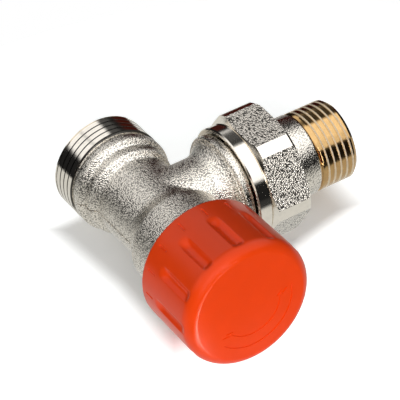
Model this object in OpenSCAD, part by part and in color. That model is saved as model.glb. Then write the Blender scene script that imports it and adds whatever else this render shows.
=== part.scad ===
// Angled radiator valve with a screwed protective cap, a sprung shut-off stem and a union tail.
// The valve's two axes meet at one point. The stem axis runs along Y, with the cap towards -Y
// and the pipe end towards +Y. The radiator axis runs along +X. Sizes are in millimetres.

/* [Pipe leg] */
// Distance from the radiator axis to the pipe end
pipe_leg = 28.5; // [27:0.5:34]
// Crest radius of the pipe thread
pipe_thread_r = 13.22; // [12.8:0.01:13.5]
// Length of the pipe thread from the pipe end to its relief groove
pipe_thread_len = 8.2; // [6:0.1:9]
// Pitch of the pipe thread and of the union thread
parallel_pitch = 1.814; // [1.4:0.002:2]
// Width of the relief groove behind a thread
relief_w = 0.9; // [0.6:0.1:1.2]
// Radius of the round collar behind the pipe thread
pipe_collar_r = 13.8; // [13.6:0.1:15]
// Width of that collar
pipe_collar_w = 2.2; // [1.5:0.1:3]
// Radius of the small ring under the collar's shoulder
shoulder_ring_r = 11.5; // [11.2:0.1:12]
// Width of the small ring
shoulder_ring_w = 1.3; // [0.8:0.1:2]
// Outer radius of the forged tube
tube_r = 10.7; // [10.5:0.1:11]
// Bore that takes the pipe
pipe_bore_r = 7.6; // [7:0.1:8]
// Radius of the conical mouth that takes a compression ring
pipe_mouth_r = 9.3; // [8.8:0.1:9.8]
// Half angle of that cone
pipe_mouth_angle = 15; // [12:1:20]
// Point angle of the drill that bores the pipe leg
drill_angle = 118; // [90:1:140]

/* [Branch] */
// Radius of the branch at its waist
branch_r = 10.7; // [10.2:0.1:10.6]
// Distance from the stem axis to the branch lip
branch_len = 19.7; // [19:0.1:22]
// Radius of the branch lip
branch_lip_r = 14.3; // [13.8:0.1:14.8]
// Width of the rounded rim of the lip
branch_lip_w = 0.7; // [0.5:0.1:1]
// Where the branch starts to flare
flare_start = 11; // [10:0.5:12]
// Crest radius of the union thread
union_thread_r = 13.22; // [12.8:0.01:13.4]
// Length of the union thread with its end chamfer
union_thread_len = 8.9; // [7:0.1:9.5]
// Bore of the branch
branch_bore_r = 7; // [6.5:0.1:7.4]
// Clearance of the tail spigot in its bore
spigot_gap = 0.05; // [0.03:0.01:0.2]
// Depth of that socket
spigot_bore_depth = 5.6; // [5.2:0.1:6.4]
// Size of the blend in the corners between branch and tube
blend = 2.6; // [1.5:0.1:3.2]

/* [Stem neck] */
// Distance from the radiator axis to the start of the boss
boss_start = 3.4; // [3:0.1:4.5]
// Length over which the boss rises from the tube
boss_rise = 6.4; // [5.5:0.1:7]
// Radius of the boss at the end of its rise
boss_r = 12.85; // [12.6:0.05:13.2]
// Distance from the radiator axis to the end of the boss
boss_end = 20.6; // [20:0.1:21]
// Radius of the boss at its end
boss_end_r = 14; // [13.6:0.1:14.1]
// Crest radius of the neck thread
neck_thread_r = 15; // [14.9:0.05:15.1]
// Pitch of the neck thread
neck_pitch = 1.5; // [1.25:0.05:1.75]
// Length of the neck thread
neck_thread_len = 6; // [5.5:0.1:6.5]

/* [Seat and chamber] */
// Radius of the chamber
chamber_r = 9; // [8.8:0.1:9.2]
// Radius of the hole in the seat
seat_hole_r = 5.5; // [5:0.1:6]
// Distance from the radiator axis to the seat face
seat_face = 6.7; // [6.4:0.1:7.2]
// Height of the seat rim
seat_rim_h = 0.8; // [0.5:0.1:1.2]
// Width of the seat rim
seat_rim_w = 0.8; // [0.5:0.1:1]
// Thickness of the wall that carries the seat
seat_wall = 2; // [1.6:0.1:2.6]
// Distance from the radiator axis to the step that the insert lands on
insert_step = 11.5; // [11:0.1:12]
// Bore for the smooth skirt of the insert
skirt_bore_r = 10; // [9.8:0.1:10.2]
// Length of that bore
skirt_bore_len = 7; // [6.5:0.1:7.5]
// Bore for the thread of the insert
insert_bore_r = 11; // [10.8:0.1:11.2]

/* [Insert] */
// Gap all round between the insert and its bores, and between other pieces that seat in a bore
seat_gap = 0.05; // [0.03:0.01:0.08]
// Thickness of the floor that guides the spindle
floor_t = 2.1; // [1.8:0.1:2.5]
// Radius of the spring cavity
cavity_r = 6; // [5.7:0.1:6.2]
// Depth of the insert's groove for its O-ring
insert_seal_h = 1.5; // [1.3:0.1:1.6]
// Width of that groove
insert_seal_w = 1.8; // [1.6:0.1:2]
// Distance from the end of the skirt to that groove
insert_seal_from = 2.1; // [1.8:0.1:2.6]
// Depth of the groove behind the insert's thread
insert_relief_h = 0.7; // [0.5:0.1:0.9]
// Flange that lands on the end of the neck
insert_flange_r = 12.6; // [12.2:0.1:13]
// Thickness of that flange
insert_flange_t = 1.2; // [1:0.1:1.5]
// Size of the insert hexagon across its flats
insert_af = 21; // [19:0.5:21.5]
// Height of the insert hexagon
insert_hex_h = 3; // [2.5:0.1:3.5]
// Radius of the round snout on the hexagon
snout_r = 8.4; // [8:0.1:9]
// Height of the snout
snout_h = 0.8; // [0.5:0.1:1]
// Bore in the snout for the gland housing
gland_bore_r = 6.5; // [6.2:0.1:6.8]

/* [Gland] */
// Size of the gland hexagon across its flats
gland_af = 13; // [12:0.5:14]
// Height of the gland hexagon
gland_hex_h = 2.5; // [2:0.1:3]
// Radius of the cavity that holds the stem seals
seal_cavity_r = 2.9; // [2.7:0.1:3.2]
// Floor of the gland housing under the stem seals
gland_floor_t = 2; // [1.6:0.1:2.4]
// Height of one stem seal
stem_seal_h = 1.34; // [1.2:0.02:1.36]
// Thickness of the washer between the stem seals
gland_washer_t = 0.8; // [0.6:0.1:1]
// Height of the plain bush over the stem seals
gland_bush_h = 0.9; // [0.7:0.1:1.1]
// Radius of the slotted gland nut
gland_nut_r = 3.9; // [3.6:0.1:4.2]
// How far the gland nut stands out of its housing
gland_nut_out = 0.6; // [0.4:0.1:1]

/* [Stem] */
// Travel of the stem from shut to open
stroke = 3; // [2:0.5:3]
// Radius of the push pin
pin_r = 1.5; // [1.3:0.1:1.7]
// How far the push pin stands out of the neck when the valve is shut
pin_out = 11.8; // [11.2:0.1:12]
// Radius of the foot of the push pin
pin_foot_r = 2.6; // [2.3:0.1:3]
// Thickness of that foot
pin_foot_t = 0.8; // [0.6:0.1:1]
// Radius of the spindle
spindle_r = 2; // [1.9:0.1:2.3]
// Radius of the thin end of the spindle that carries the disc
spindle_end_r = 1.5; // [1.3:0.1:1.6]
// Running clearance all round a sliding piece
running_gap = 0.05; // [0.03:0.01:0.08]
// Gap between the shut disc and its seat, and between the pin and the cap
shut_gap = 0.05; // [0.03:0.01:0.1]
// Thickness of the rubber disc
disc_seal_t = 2.4; // [2:0.1:2.8]
// Radius of the rubber disc
disc_seal_r = 6.9; // [6.8:0.1:7.1]
// Radius of the disc holder
disc_holder_r = 7.7; // [7.5:0.1:7.9]
// Thickness of the plate of the disc holder
disc_plate_t = 1.2; // [1:0.1:1.5]
// Depth of the rim that holds the rubber disc
disc_rim_h = 1.3; // [1:0.1:1.6]
// Radius of the hub of the disc holder
disc_hub_r = 3.4; // [3:0.1:3.8]
// Length of that hub
disc_hub_len = 2.4; // [2:0.1:3]
// Radius of the washer under the rubber disc
disc_washer_r = 4.2; // [3.8:0.1:4.5]
// Thickness of that washer
disc_washer_t = 0.7; // [0.5:0.1:0.9]
// Size of the disc nut across its flats
disc_nut_af = 5.5; // [5:0.1:6]
// Height of the disc nut
disc_nut_h = 2; // [1.6:0.1:2.4]

/* [Spring] */
// Length of the return spring when the valve is shut
spring_len = 5.8; // [5.6:0.1:6]
// Mean radius of its coils
spring_r = 4.2; // [4.1:0.1:4.4]
// Diameter of its wire
spring_wire = 0.9; // [0.8:0.05:0.95]
// Turns of wire
spring_turns = 4.5; // [3.5:0.5:4.5]
// Radius of the spring plate
plate_r = 5.5; // [5.3:0.1:5.6]
// Thickness of the spring plate
plate_t = 1; // [0.8:0.1:1.2]
// Gap between the plate's sleeve and the spring
sleeve_gap = 0.4; // [0.2:0.05:0.5]
// Thickness of the retaining ring
ring_t = 0.6; // [0.5:0.05:0.8]
// Outer radius of the retaining ring
ring_r = 3.2; // [3:0.1:3.5]
// Depth of the spindle's groove for the ring
ring_groove_h = 0.5; // [0.3:0.05:0.6]

/* [Protective cap] */
// Radius of the cap at its open rim
cap_rim_r = 17.2; // [17:0.1:17.5]
// Radius of the cap where its front edge starts to round
cap_front_r = 17.7; // [17.5:0.1:18.2]
// Length of the cap
cap_len = 20.7; // [20.2:0.1:20.9]
// Rounding of the front edge
cap_edge_r = 1.9; // [1.2:0.1:2.4]
// Rounding of the rim's outer edge
cap_rim_round = 0.3; // [0.2:0.05:0.5]
// Thickness of the front wall
cap_wall = 2; // [1.8:0.1:2.4]
// Inner radius of the cap beyond its thread
cap_inner_r = 14.2; // [13.8:0.1:14.6]
// Length of the cap's threaded stretch from its rim
cap_thread_len = 7.3; // [6.9:0.1:7.6]
// Height of the pad that pushes the pin
cap_pad_h = 0.55; // [0.4:0.05:0.9]
// Radius of that pad
cap_pad_r = 3.2; // [2.5:0.1:4]
// Number of ribs inside the front wall
cap_ribs = 6; // [4:1:8]
// Height of those ribs
cap_rib_h = 1.5; // [1:0.1:2]
// Thickness of those ribs
cap_rib_t = 1; // [0.8:0.1:1.4]
// Number of grip flutes
flutes = 12; // [8:1:14]
// Radius of the cutter that makes a flute
flute_cut_r = 1.3; // [1.1:0.1:1.6]
// Depth of a flute
flute_depth = 0.65; // [0.4:0.05:0.8]
// Distance from the rim to the start of the flutes
flute_start = 7.3; // [6.5:0.1:9]
// Number of short notches near the rim
notches = 16; // [8:1:18]
// Width of a notch
notch_w = 0.5; // [0.4:0.1:0.8]
// Depth of a notch
notch_depth = 0.35; // [0.2:0.05:0.5]
// Distance from the rim to the start of a notch
notch_start = 2.2; // [1.5:0.1:3]
// Length of a notch
notch_len = 2.9; // [2:0.1:3.2]
// Outer radius of the turning arrow on the front
arrow_out_r = 12.4; // [11.5:0.1:13]
// Inner radius of the turning arrow
arrow_in_r = 9; // [8:0.1:10]
// Width of the raised line of the arrow
arrow_line_w = 0.35; // [0.25:0.05:0.5]
// Height of that line
arrow_line_h = 0.18; // [0.12:0.02:0.3]

/* [Tailpiece] */
// Distance from the stem axis to the end of the tail
tail_end = 53; // [52:0.5:58]
// Radius of the tail's spigot
spigot_r = 9.45; // [9.35:0.01:9.46]
// Length of the spigot
spigot_len = 5; // [4.8:0.1:5.4]
// Length of the spigot in front of its groove
spigot_nose = 1.5; // [1.3:0.1:1.6]
// Radius of the collar that the union nut pulls on
tail_collar_r = 11.95; // [11.8:0.05:12]
// Width of that collar
tail_collar_w = 2.9; // [2.5:0.1:3]
// Gap between the body's end face and the tail collar
joint_gap = 0.1; // [0.05:0.01:0.2]
// Radius of the neck of the tail
tail_neck_r = 10.9; // [10.7:0.05:10.95]
// Crest radius of the radiator thread
tail_thread_r = 10.48; // [10.3:0.01:10.6]
// Length of the radiator thread
tail_thread_len = 10.2; // [9:0.1:12]
// Bore of the tail
tail_bore_r = 6.9; // [6.5:0.1:7.2]
// Size of the key hexagon in the tail bore, across its flats
key_af = 11.6; // [10:0.1:12]
// Length of the key hexagon
key_len = 5; // [4:0.5:7]
// Distance from the tail end to the key hexagon
key_start = 4; // [3:0.5:6]
// Width of the groove for the tail seal
tail_seal_w = 1.8; // [1.6:0.1:2]
// Height of the tail seal's section
tail_seal_h = 1.5; // [1.3:0.1:1.6]

/* [Union nut] */
// Size of the nut across its flats
nut_af = 30; // [29.5:0.1:30.5]
// Radius that the nut's corners are turned to
nut_corner_r = 16.4; // [16:0.1:16.8]
// Length of the nut's hexagon
nut_hex_len = 10.9; // [10.6:0.1:12]
// Radius of the nut's round collar
nut_collar_r = 15.5; // [15.1:0.1:15.8]
// Length of that collar
nut_collar_len = 3.9; // [3.5:0.1:4.2]
// Slope of the turned end of the hexagon
nut_end_angle = 35; // [25:1:40]
// Gap between the branch lip and the tight nut
nut_gap = 0.3; // [0.2:0.1:0.6]
// Gap between the nut and the tail collar that it pulls on
pull_gap = 0.1; // [0.05:0.01:0.2]
// Turn of the nut's corners about the tail
nut_turn = 35; // [0:1:59]
// Clearance all round between the nut and what it turns on
thread_gap = 0.05; // [0.04:0.01:0.08]
// Clearance between the tail neck and the hole in the nut
neck_gap = 0.2; // [0.15:0.05:0.3]

/* [Hidden] */
$fn = 96;
over = 1;

nickel = [0.72, 0.70, 0.66];
brass = [0.80, 0.62, 0.28];
steel = [0.70, 0.71, 0.73];
rubber = [0.10, 0.10, 0.11];
orange = [0.94, 0.29, 0.09];
white_plastic = [0.92, 0.91, 0.88];

// Thread shapes: depth as a share of the pitch, and the flats at crest and root
whitworth_depth = 0.64;
metric_depth = 0.6134;
flat_share = 1 / 6;
// Chamfer on the turned edges of every piece
edge = 0.3;

// Stations along the pipe leg, measured from the radiator axis
pipe_relief_y = pipe_leg - pipe_thread_len;
pipe_collar_top = pipe_relief_y - relief_w;
pipe_collar_bottom = pipe_collar_top - pipe_collar_w;
relief_depth = 1.2;
shoulder_round = 1.5;
shoulder_turn = 50;
shoulder_slope_len = 1.6;
ring_fillet = 1.2;

// Stations along the branch, measured from the stem axis
union_relief_end = branch_len + 1.1;
branch_end = union_relief_end + union_thread_len;
spigot_bore_r = spigot_r + spigot_gap;
spigot_bore_start = branch_end - spigot_bore_depth;
mouth_chamfer = 0.5;

// Stations along the stem, measured from the radiator axis towards the cap
neck_thread_start = boss_end + relief_w;
neck_end = neck_thread_start + neck_thread_len;
seat_back = -seat_face - seat_rim_h;
seat_front = seat_face + seat_rim_h + seat_wall;
pipe_bore_end = seat_front + (pipe_bore_r - seat_hole_r) / tan(drill_angle / 2);
skirt_end = insert_step + skirt_bore_len;
skirt_r = skirt_bore_r - seat_gap;
insert_seal_start = insert_step + insert_seal_from;
insert_seal_end = insert_seal_start + insert_seal_w;
insert_groove_r = skirt_r - insert_seal_h;
spring_floor = insert_step + floor_t;
plate_low = spring_floor + spring_len;
ring_low = plate_low + plate_t;
ring_groove_r = spindle_r - ring_groove_h;
spindle_shoulder_h = 1.2;
spindle_top = ring_low + ring_t + spindle_shoulder_h;
pin_foot_top = spindle_top + pin_foot_t;
foot_gap = 0.2;
gland_low = pin_foot_top + stroke + foot_gap;
insert_hex_low = neck_end + insert_flange_t;
insert_hex_top = insert_hex_low + insert_hex_h;
insert_top = insert_hex_top + snout_h;
gland_top = insert_top + gland_hex_h;
seal_low = gland_low + gland_floor_t;
gland_washer_low = seal_low + stem_seal_h;
seal_high = gland_washer_low + gland_washer_t;
gland_bush_low = seal_high + stem_seal_h;
gland_nut_low = gland_bush_low + gland_bush_h;
gland_nut_top = gland_top + gland_nut_out;
gland_nut_slot_w = 1;
gland_nut_slot_h = 0.8;
pin_top = neck_end + pin_out;
disc_low = -seat_face + shut_gap;
disc_plate_low = disc_low + disc_seal_t;
disc_rim_low = disc_plate_low - disc_rim_h;
disc_hub_low = disc_plate_low + disc_plate_t;
disc_hub_top = disc_hub_low + disc_hub_len;
disc_nut_low = disc_low - disc_washer_t - disc_nut_h;
spindle_tip = disc_nut_low - 0.35;
seal_gap = 0.02;

// Stations of the cap, measured the same way
cap_pad_face = pin_top + shut_gap;
cap_inside = cap_pad_face + cap_pad_h;
cap_front = cap_inside + cap_wall;
cap_rim = cap_front - cap_len;
cap_mouth_r = neck_thread_r + 0.35;
cap_mouth_len = 0.6;

// Stations of the nut and the tail, measured from the stem axis
nut_start = branch_len + nut_gap;
nut_hex_start = nut_start + nut_collar_len;
nut_end = nut_hex_start + nut_hex_len;
tail_collar_start = branch_end + joint_gap;
tail_collar_end = tail_collar_start + tail_collar_w;
tail_start = tail_collar_start - spigot_len;
nut_web_start = tail_collar_end + pull_gap;
tail_thread_start = tail_end - tail_thread_len;
tail_seal_start = tail_start + spigot_nose;

// The origin is at the centre of the bottom of the part's box
cap_reach = sqrt(pow(cap_front_r, 2) - flute_cut_r * flute_cut_r + pow(flute_cut_r - flute_depth, 2));
origin_x = (tail_end - cap_reach) / 2;
origin_y = (pipe_leg - cap_front - arrow_line_h) / 2;
origin_z = -cap_reach;

function arc(cx, cy, r, from, to, steps) =
    [for (i = [0:steps]) let (a = from + (to - from) * i / steps) [cx + r * cos(a), cy + r * sin(a)]];

function smooth(u) = let (v = min(max(u, 0), 1)) v * v * (3 - 2 * v);

// Rings that stand for the turns of a thread, from one station upwards
function turns(len, pitch) = floor((len - pitch * flat_share) / pitch);
function thread(r, pitch, depth, start, len) = concat(
    [for (i = [0:turns(len, pitch) - 1], p = [
        [r, start + i * pitch],
        [r, start + (i + flat_share) * pitch],
        [r - depth * pitch, start + (i + 0.5) * pitch],
        [r - depth * pitch, start + (i + 0.5 + flat_share) * pitch]
    ]) p],
    [[r, start + turns(len, pitch) * pitch], [r, start + (turns(len, pitch) + flat_share) * pitch]]
);

// Radius of the forged tube and boss at a distance from the radiator axis towards the cap
function forged_r(s) = s > boss_start + boss_rise
    ? boss_r + (boss_end_r - boss_r) * (s - boss_start - boss_rise) / (boss_end - boss_start - boss_rise)
    : tube_r + (boss_r - tube_r) * smooth((s - boss_start) / boss_rise);

module place() translate([-origin_x, -origin_y, -origin_z]) children();
module towards_cap() place() rotate([90, 0, 0]) children();
module towards_pipe() place() rotate([-90, 0, 0]) children();
module towards_radiator() place() rotate([0, 90, 0]) children();

module turned(points) rotate_extrude() polygon(points);

module tube(r_in, r_out, from, to) turned([[r_in, from], [r_out, from], [r_out, to], [r_in, to]]);

module hexagon(af, from, to) translate([0, 0, from]) cylinder(r = af / 2 / cos(30), h = to - from, $fn = 6);

// Round that takes the corners off the top of a hexagon
module chamfered_end(af, from, to) turned([
    [0, from], [af / 2 / cos(30), from], [af / 2 / cos(30), to - (af / 2 / cos(30) - af / 2) / 2],
    [af / 2, to], [0, to]
]);

module o_ring(r_in, section, from) rotate_extrude()
    translate([r_in + section / 2, from + section / 2]) circle(d = section, $fn = 48);

// Valve body: one forging, then turned, bored and threaded
module neck_and_boss() {
    steps = 14;
    root_r = neck_thread_r - metric_depth * neck_pitch;
    turned(concat(
        [[0, 0], [forged_r(0), 0]],
        [for (i = [0:steps]) let (s = boss_start + (boss_end - boss_start) * i / steps) [forged_r(s), s]],
        [[root_r, boss_end], [root_r, neck_thread_start - edge]],
        thread(neck_thread_r, neck_pitch, metric_depth, neck_thread_start, neck_thread_len - edge),
        [[root_r, neck_end], [0, neck_end]]
    ));
}

module pipe_tube() {
    ring_top = pipe_collar_bottom - shoulder_round * sin(shoulder_turn) - shoulder_slope_len;
    ring_bottom = ring_top - shoulder_ring_w;
    drop = whitworth_depth * parallel_pitch;
    pipe_relief_r = pipe_thread_r - relief_depth;
    turned(concat(
        [[0, -over], [tube_r, -over], [tube_r, ring_bottom - ring_fillet]],
        arc(tube_r + ring_fillet, ring_bottom - ring_fillet, ring_fillet, 180, 132, 4),
        [[shoulder_ring_r, ring_bottom], [shoulder_ring_r, ring_top]],
        arc(pipe_collar_r - shoulder_round, pipe_collar_bottom, shoulder_round, -shoulder_turn, 0, 6),
        [[pipe_collar_r, pipe_collar_top - edge], [pipe_collar_r - edge, pipe_collar_top]],
        [[pipe_relief_r, pipe_collar_top], [pipe_relief_r, pipe_relief_y - edge]],
        thread(pipe_thread_r, parallel_pitch, whitworth_depth, pipe_relief_y, pipe_thread_len - edge),
        [[pipe_thread_r - drop, pipe_leg], [0, pipe_leg]]
    ));
}

module branch_tube() {
    run = branch_len - branch_lip_w - flare_start;
    rise = branch_lip_r - edge - branch_r;
    flare_r = (run * run + rise * rise) / (2 * rise);
    drop = whitworth_depth * parallel_pitch;
    turned(concat(
        [[0, 0], [branch_r, 0]],
        arc(branch_r + flare_r, flare_start, flare_r, 180, 180 - asin(run / flare_r), 12),
        [[branch_lip_r, branch_len - branch_lip_w + edge], [branch_lip_r, branch_len - edge / 2]],
        [[branch_lip_r - edge / 2, branch_len], [union_thread_r - relief_depth, branch_len]],
        [[union_thread_r - relief_depth, union_relief_end - edge]],
        thread(union_thread_r, parallel_pitch, whitworth_depth, union_relief_end, union_thread_len - edge),
        [[union_thread_r - drop, branch_end], [0, branch_end]]
    ));
}

// Soft corner between the branch and the tube, as a loft of rings round the branch
module junction_blend() {
    around = 48;
    across = 7;
    sink = 0.3;
    least_w = 0.8;
    function corner(a) = pow(abs(cos(a)), 1.6);
    function ring_radius(a, t) = branch_r - sink + (blend * corner(a) + 0.1) * (1 - sin(t));
    function body_x(a, r) = sqrt(max(pow(forged_r(-r * cos(a)), 2) - pow(r * sin(a), 2), 1)) - sink;
    function ring_point(a, t) = let (r = ring_radius(a, t), w = blend * corner(a) + least_w)
        [body_x(a, r) + w * (1 - cos(t)), r * cos(a), r * sin(a)];
    rings = [for (k = [0:across], i = [0:around - 1]) ring_point(360 * i / around, 90 * k / across)];
    points = concat([[0, 0, 0], [flare_start, 0, 0]], rings);
    function at(k, i) = 2 + k * around + i % around;
    faces = concat(
        [for (i = [0:around - 1]) [0, at(0, i), at(0, i + 1)]],
        [for (i = [0:around - 1]) [1, at(across, i + 1), at(across, i)]],
        [for (k = [0:across - 1], i = [0:around - 1]) [at(k, i), at(k + 1, i), at(k + 1, i + 1)]],
        [for (k = [0:across - 1], i = [0:around - 1]) [at(k, i), at(k + 1, i + 1), at(k, i + 1)]]
    );
    polyhedron(points = points, faces = faces);
}

module body_waterways() {
    mouth_len = (pipe_mouth_r - pipe_bore_r) / tan(pipe_mouth_angle);
    towards_pipe() {
        turned([
            [0, seat_front], [seat_hole_r, seat_front], [pipe_bore_r, pipe_bore_end],
            [pipe_bore_r, pipe_leg - mouth_len],
            [pipe_mouth_r, pipe_leg], [pipe_mouth_r, pipe_leg + over], [0, pipe_leg + over]
        ]);
        cylinder(r = seat_hole_r, h = seat_front + over);
    }
    towards_cap() {
        turned([
            [0, -seat_face], [seat_hole_r + seat_rim_w, -seat_face], [seat_hole_r + seat_rim_w, seat_back],
            [chamber_r, seat_back], [chamber_r, insert_step], [skirt_bore_r, insert_step],
            [skirt_bore_r, skirt_end], [insert_bore_r, skirt_end], [insert_bore_r, neck_end + over],
            [0, neck_end + over]
        ]);
    }
    towards_radiator() turned([
        [0, 0], [branch_bore_r, 0], [branch_bore_r, spigot_bore_start], [spigot_bore_r, spigot_bore_start],
        [spigot_bore_r, branch_end - mouth_chamfer], [spigot_bore_r + mouth_chamfer, branch_end],
        [spigot_bore_r + mouth_chamfer, branch_end + over], [0, branch_end + over]
    ]);
}

module valve_body() color(nickel) difference() {
    union() {
        towards_cap() neck_and_boss();
        towards_pipe() pipe_tube();
        towards_radiator() branch_tube();
        place() junction_blend();
    }
    body_waterways();
}

// Insert: the brass cartridge that closes the neck and guides the stem
module insert_body() color(brass) towards_cap() difference() {
    thread_r = insert_bore_r - seat_gap;
    union() {
        turned([
            [0, insert_step], [skirt_r - edge, insert_step], [skirt_r, insert_step + edge],
            [skirt_r, insert_seal_start], [insert_groove_r, insert_seal_start],
            [insert_groove_r, insert_seal_end], [skirt_r, insert_seal_end],
            [skirt_r, skirt_end], [thread_r, skirt_end + edge], [thread_r, neck_end - relief_w],
            [thread_r - insert_relief_h, neck_end - relief_w], [thread_r - insert_relief_h, neck_end],
            [insert_flange_r, neck_end], [insert_flange_r, insert_hex_low - edge],
            [insert_flange_r - edge, insert_hex_low], [snout_r, insert_hex_low],
            [snout_r, insert_top - edge], [snout_r - edge, insert_top], [0, insert_top]
        ]);
        intersection() {
            hexagon(insert_af, insert_hex_low - edge, insert_hex_top);
            chamfered_end(insert_af, insert_hex_low - edge, insert_hex_top);
        }
    }
    cylinder(r = spindle_r + running_gap, h = insert_top + over);
    translate([0, 0, spring_floor]) cylinder(r = cavity_r, h = gland_low - spring_floor);
    translate([0, 0, gland_low]) cylinder(r = gland_bore_r, h = insert_top + over - gland_low);
}

module insert_o_ring() color(rubber) towards_cap()
    o_ring(insert_groove_r + seal_gap, insert_seal_h - seal_gap,
        insert_seal_start + (insert_seal_w - insert_seal_h) / 2);

// Gland: the screwed housing that seals the push pin
module gland_housing() color(brass) towards_cap() difference() {
    union() {
        turned([
            [0, gland_low], [gland_bore_r - seat_gap - edge, gland_low],
            [gland_bore_r - seat_gap, gland_low + edge], [gland_bore_r - seat_gap, insert_top],
            [0, insert_top]
        ]);
        intersection() {
            hexagon(gland_af, insert_top, gland_top);
            chamfered_end(gland_af, insert_top, gland_top);
        }
    }
    translate([0, 0, gland_low - over]) cylinder(r = pin_r + running_gap, h = gland_top);
    translate([0, 0, seal_low]) cylinder(r = seal_cavity_r, h = gland_top);
    translate([0, 0, gland_nut_low]) cylinder(r = gland_nut_r + seat_gap, h = gland_top);
}

module stem_seal(from) color(rubber) towards_cap()
    o_ring(seal_cavity_r - seal_gap - stem_seal_h, stem_seal_h, from);
module gland_o_ring_lower() stem_seal(seal_low);
module gland_o_ring_upper() stem_seal(seal_high);

module gland_washer() color(brass) towards_cap()
    tube(pin_r + running_gap, seal_cavity_r - seal_gap, gland_washer_low, seal_high);

module gland_bush() color(white_plastic) towards_cap()
    tube(pin_r + running_gap, seal_cavity_r - seal_gap, gland_bush_low, gland_nut_low);

module gland_nut() color(brass) towards_cap() difference() {
    turned([
        [pin_r + running_gap, gland_nut_low], [gland_nut_r, gland_nut_low],
        [gland_nut_r, gland_nut_top - 0.3], [gland_nut_r - 0.3, gland_nut_top],
        [pin_r + running_gap, gland_nut_top]
    ]);
    translate([-gland_nut_r - over, -gland_nut_slot_w / 2, gland_nut_top - gland_nut_slot_h])
        cube([2 * (gland_nut_r + over), gland_nut_slot_w, gland_nut_slot_h + over]);
}

// Return spring: a helix of round wire between the floor and the spring plate
module return_spring() {
    sides = 8;
    per_turn = 18;
    steps = ceil(spring_turns * per_turn);
    wire_r = spring_wire / 2;
    low = spring_floor + wire_r + seal_gap;
    high = plate_low - wire_r - seal_gap;
    function wire_point(i, j) = let (
        a = 360 * spring_turns * i / steps,
        b = 360 * j / sides,
        r = spring_r + wire_r * cos(b)
    ) [r * cos(a), r * sin(a), low + (high - low) * i / steps + wire_r * sin(b)];
    points = [for (i = [0:steps], j = [0:sides - 1]) wire_point(i, j)];
    function at(i, j) = i * sides + j % sides;
    faces = concat(
        [[for (j = [0:sides - 1]) at(0, j)], [for (j = [sides - 1:-1:0]) at(steps, j)]],
        [for (i = [0:steps - 1], j = [0:sides - 1]) [at(i, j), at(i + 1, j), at(i + 1, j + 1)]],
        [for (i = [0:steps - 1], j = [0:sides - 1]) [at(i, j), at(i + 1, j + 1), at(i, j + 1)]]
    );
    color(steel) towards_cap() polyhedron(points = points, faces = faces);
}

// Stem: everything that slides when the valve opens
module spindle() color(steel) towards_cap() turned([
    [0, spindle_tip], [spindle_end_r - edge, spindle_tip], [spindle_end_r, spindle_tip + edge],
    [spindle_end_r, disc_hub_top], [spindle_r, disc_hub_top], [spindle_r, ring_low],
    [ring_groove_r, ring_low], [ring_groove_r, ring_low + ring_t], [spindle_r, ring_low + ring_t],
    [spindle_r, spindle_top - edge], [spindle_r - edge, spindle_top], [0, spindle_top]
]);

module push_pin() color(steel) towards_cap() turned([
    [0, spindle_top], [pin_foot_r, spindle_top], [pin_foot_r, pin_foot_top], [pin_r, pin_foot_top],
    [pin_r, pin_top - edge], [pin_r - edge, pin_top], [0, pin_top]
]);

module spring_plate() color(steel) towards_cap() {
    sleeve_r = spring_r - spring_wire / 2 - sleeve_gap;
    turned([
        [spindle_r + seal_gap, plate_low - plate_t], [sleeve_r, plate_low - plate_t],
        [sleeve_r, plate_low], [plate_r, plate_low], [plate_r, ring_low], [spindle_r + seal_gap, ring_low]
    ]);
}

module retaining_ring() color(steel) towards_cap() difference() {
    mouth_w = 1.6 * ring_groove_r;
    tube(ring_groove_r + seal_gap, ring_r, ring_low, ring_low + ring_t);
    translate([0, -mouth_w / 2, ring_low - over]) cube([ring_r + over, mouth_w, ring_t + 2 * over]);
}

module disc_holder() color(brass) towards_cap() turned([
    [spindle_end_r + seal_gap, disc_plate_low], [disc_seal_r + seal_gap, disc_plate_low],
    [disc_seal_r + seal_gap, disc_rim_low], [disc_holder_r - edge, disc_rim_low],
    [disc_holder_r, disc_rim_low + edge], [disc_holder_r, disc_hub_low - edge],
    [disc_holder_r - edge, disc_hub_low], [disc_hub_r, disc_hub_low], [disc_hub_r, disc_hub_top],
    [spindle_end_r + seal_gap, disc_hub_top]
]);

module disc_seal() color(rubber) towards_cap()
    tube(spindle_end_r + seal_gap, disc_seal_r, disc_low, disc_plate_low);

module disc_washer() color(brass) towards_cap()
    tube(spindle_end_r + seal_gap, disc_washer_r, disc_low - disc_washer_t, disc_low);

module disc_nut() color(brass) towards_cap() difference() {
    hexagon(disc_nut_af, disc_nut_low, disc_nut_low + disc_nut_h);
    translate([0, 0, disc_nut_low - over]) cylinder(r = spindle_end_r + seal_gap, h = disc_nut_h + 2 * over);
}

// Protective cap: a moulded cup with grip flutes that screws on the neck
module cap_cup() {
    inner_thread_r = neck_thread_r + thread_gap;
    thread_top = cap_rim + cap_thread_len;
    difference() {
        turned(concat(
            [[0, cap_rim], [cap_rim_r - cap_rim_round, cap_rim], [cap_rim_r, cap_rim + cap_rim_round]],
            arc(cap_front_r - cap_edge_r, cap_front - cap_edge_r, cap_edge_r, 0, 90, 8),
            [[0, cap_front]]
        ));
        turned([
            [0, cap_rim - over], [cap_mouth_r, cap_rim - over], [cap_mouth_r, cap_rim + cap_mouth_len],
            [inner_thread_r, cap_rim + cap_mouth_len + edge], [inner_thread_r, thread_top],
            [cap_inner_r, thread_top + inner_thread_r - cap_inner_r], [cap_inner_r, cap_inside],
            [0, cap_inside]
        ]);
    }
}

module cap_flutes() for (i = [0:flutes - 1])
    rotate([0, 0, 90 + 360 * i / flutes])
        translate([cap_front_r + flute_cut_r - flute_depth, 0, cap_rim + flute_start])
            cylinder(r = flute_cut_r, h = cap_len, $fn = 32);

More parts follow.
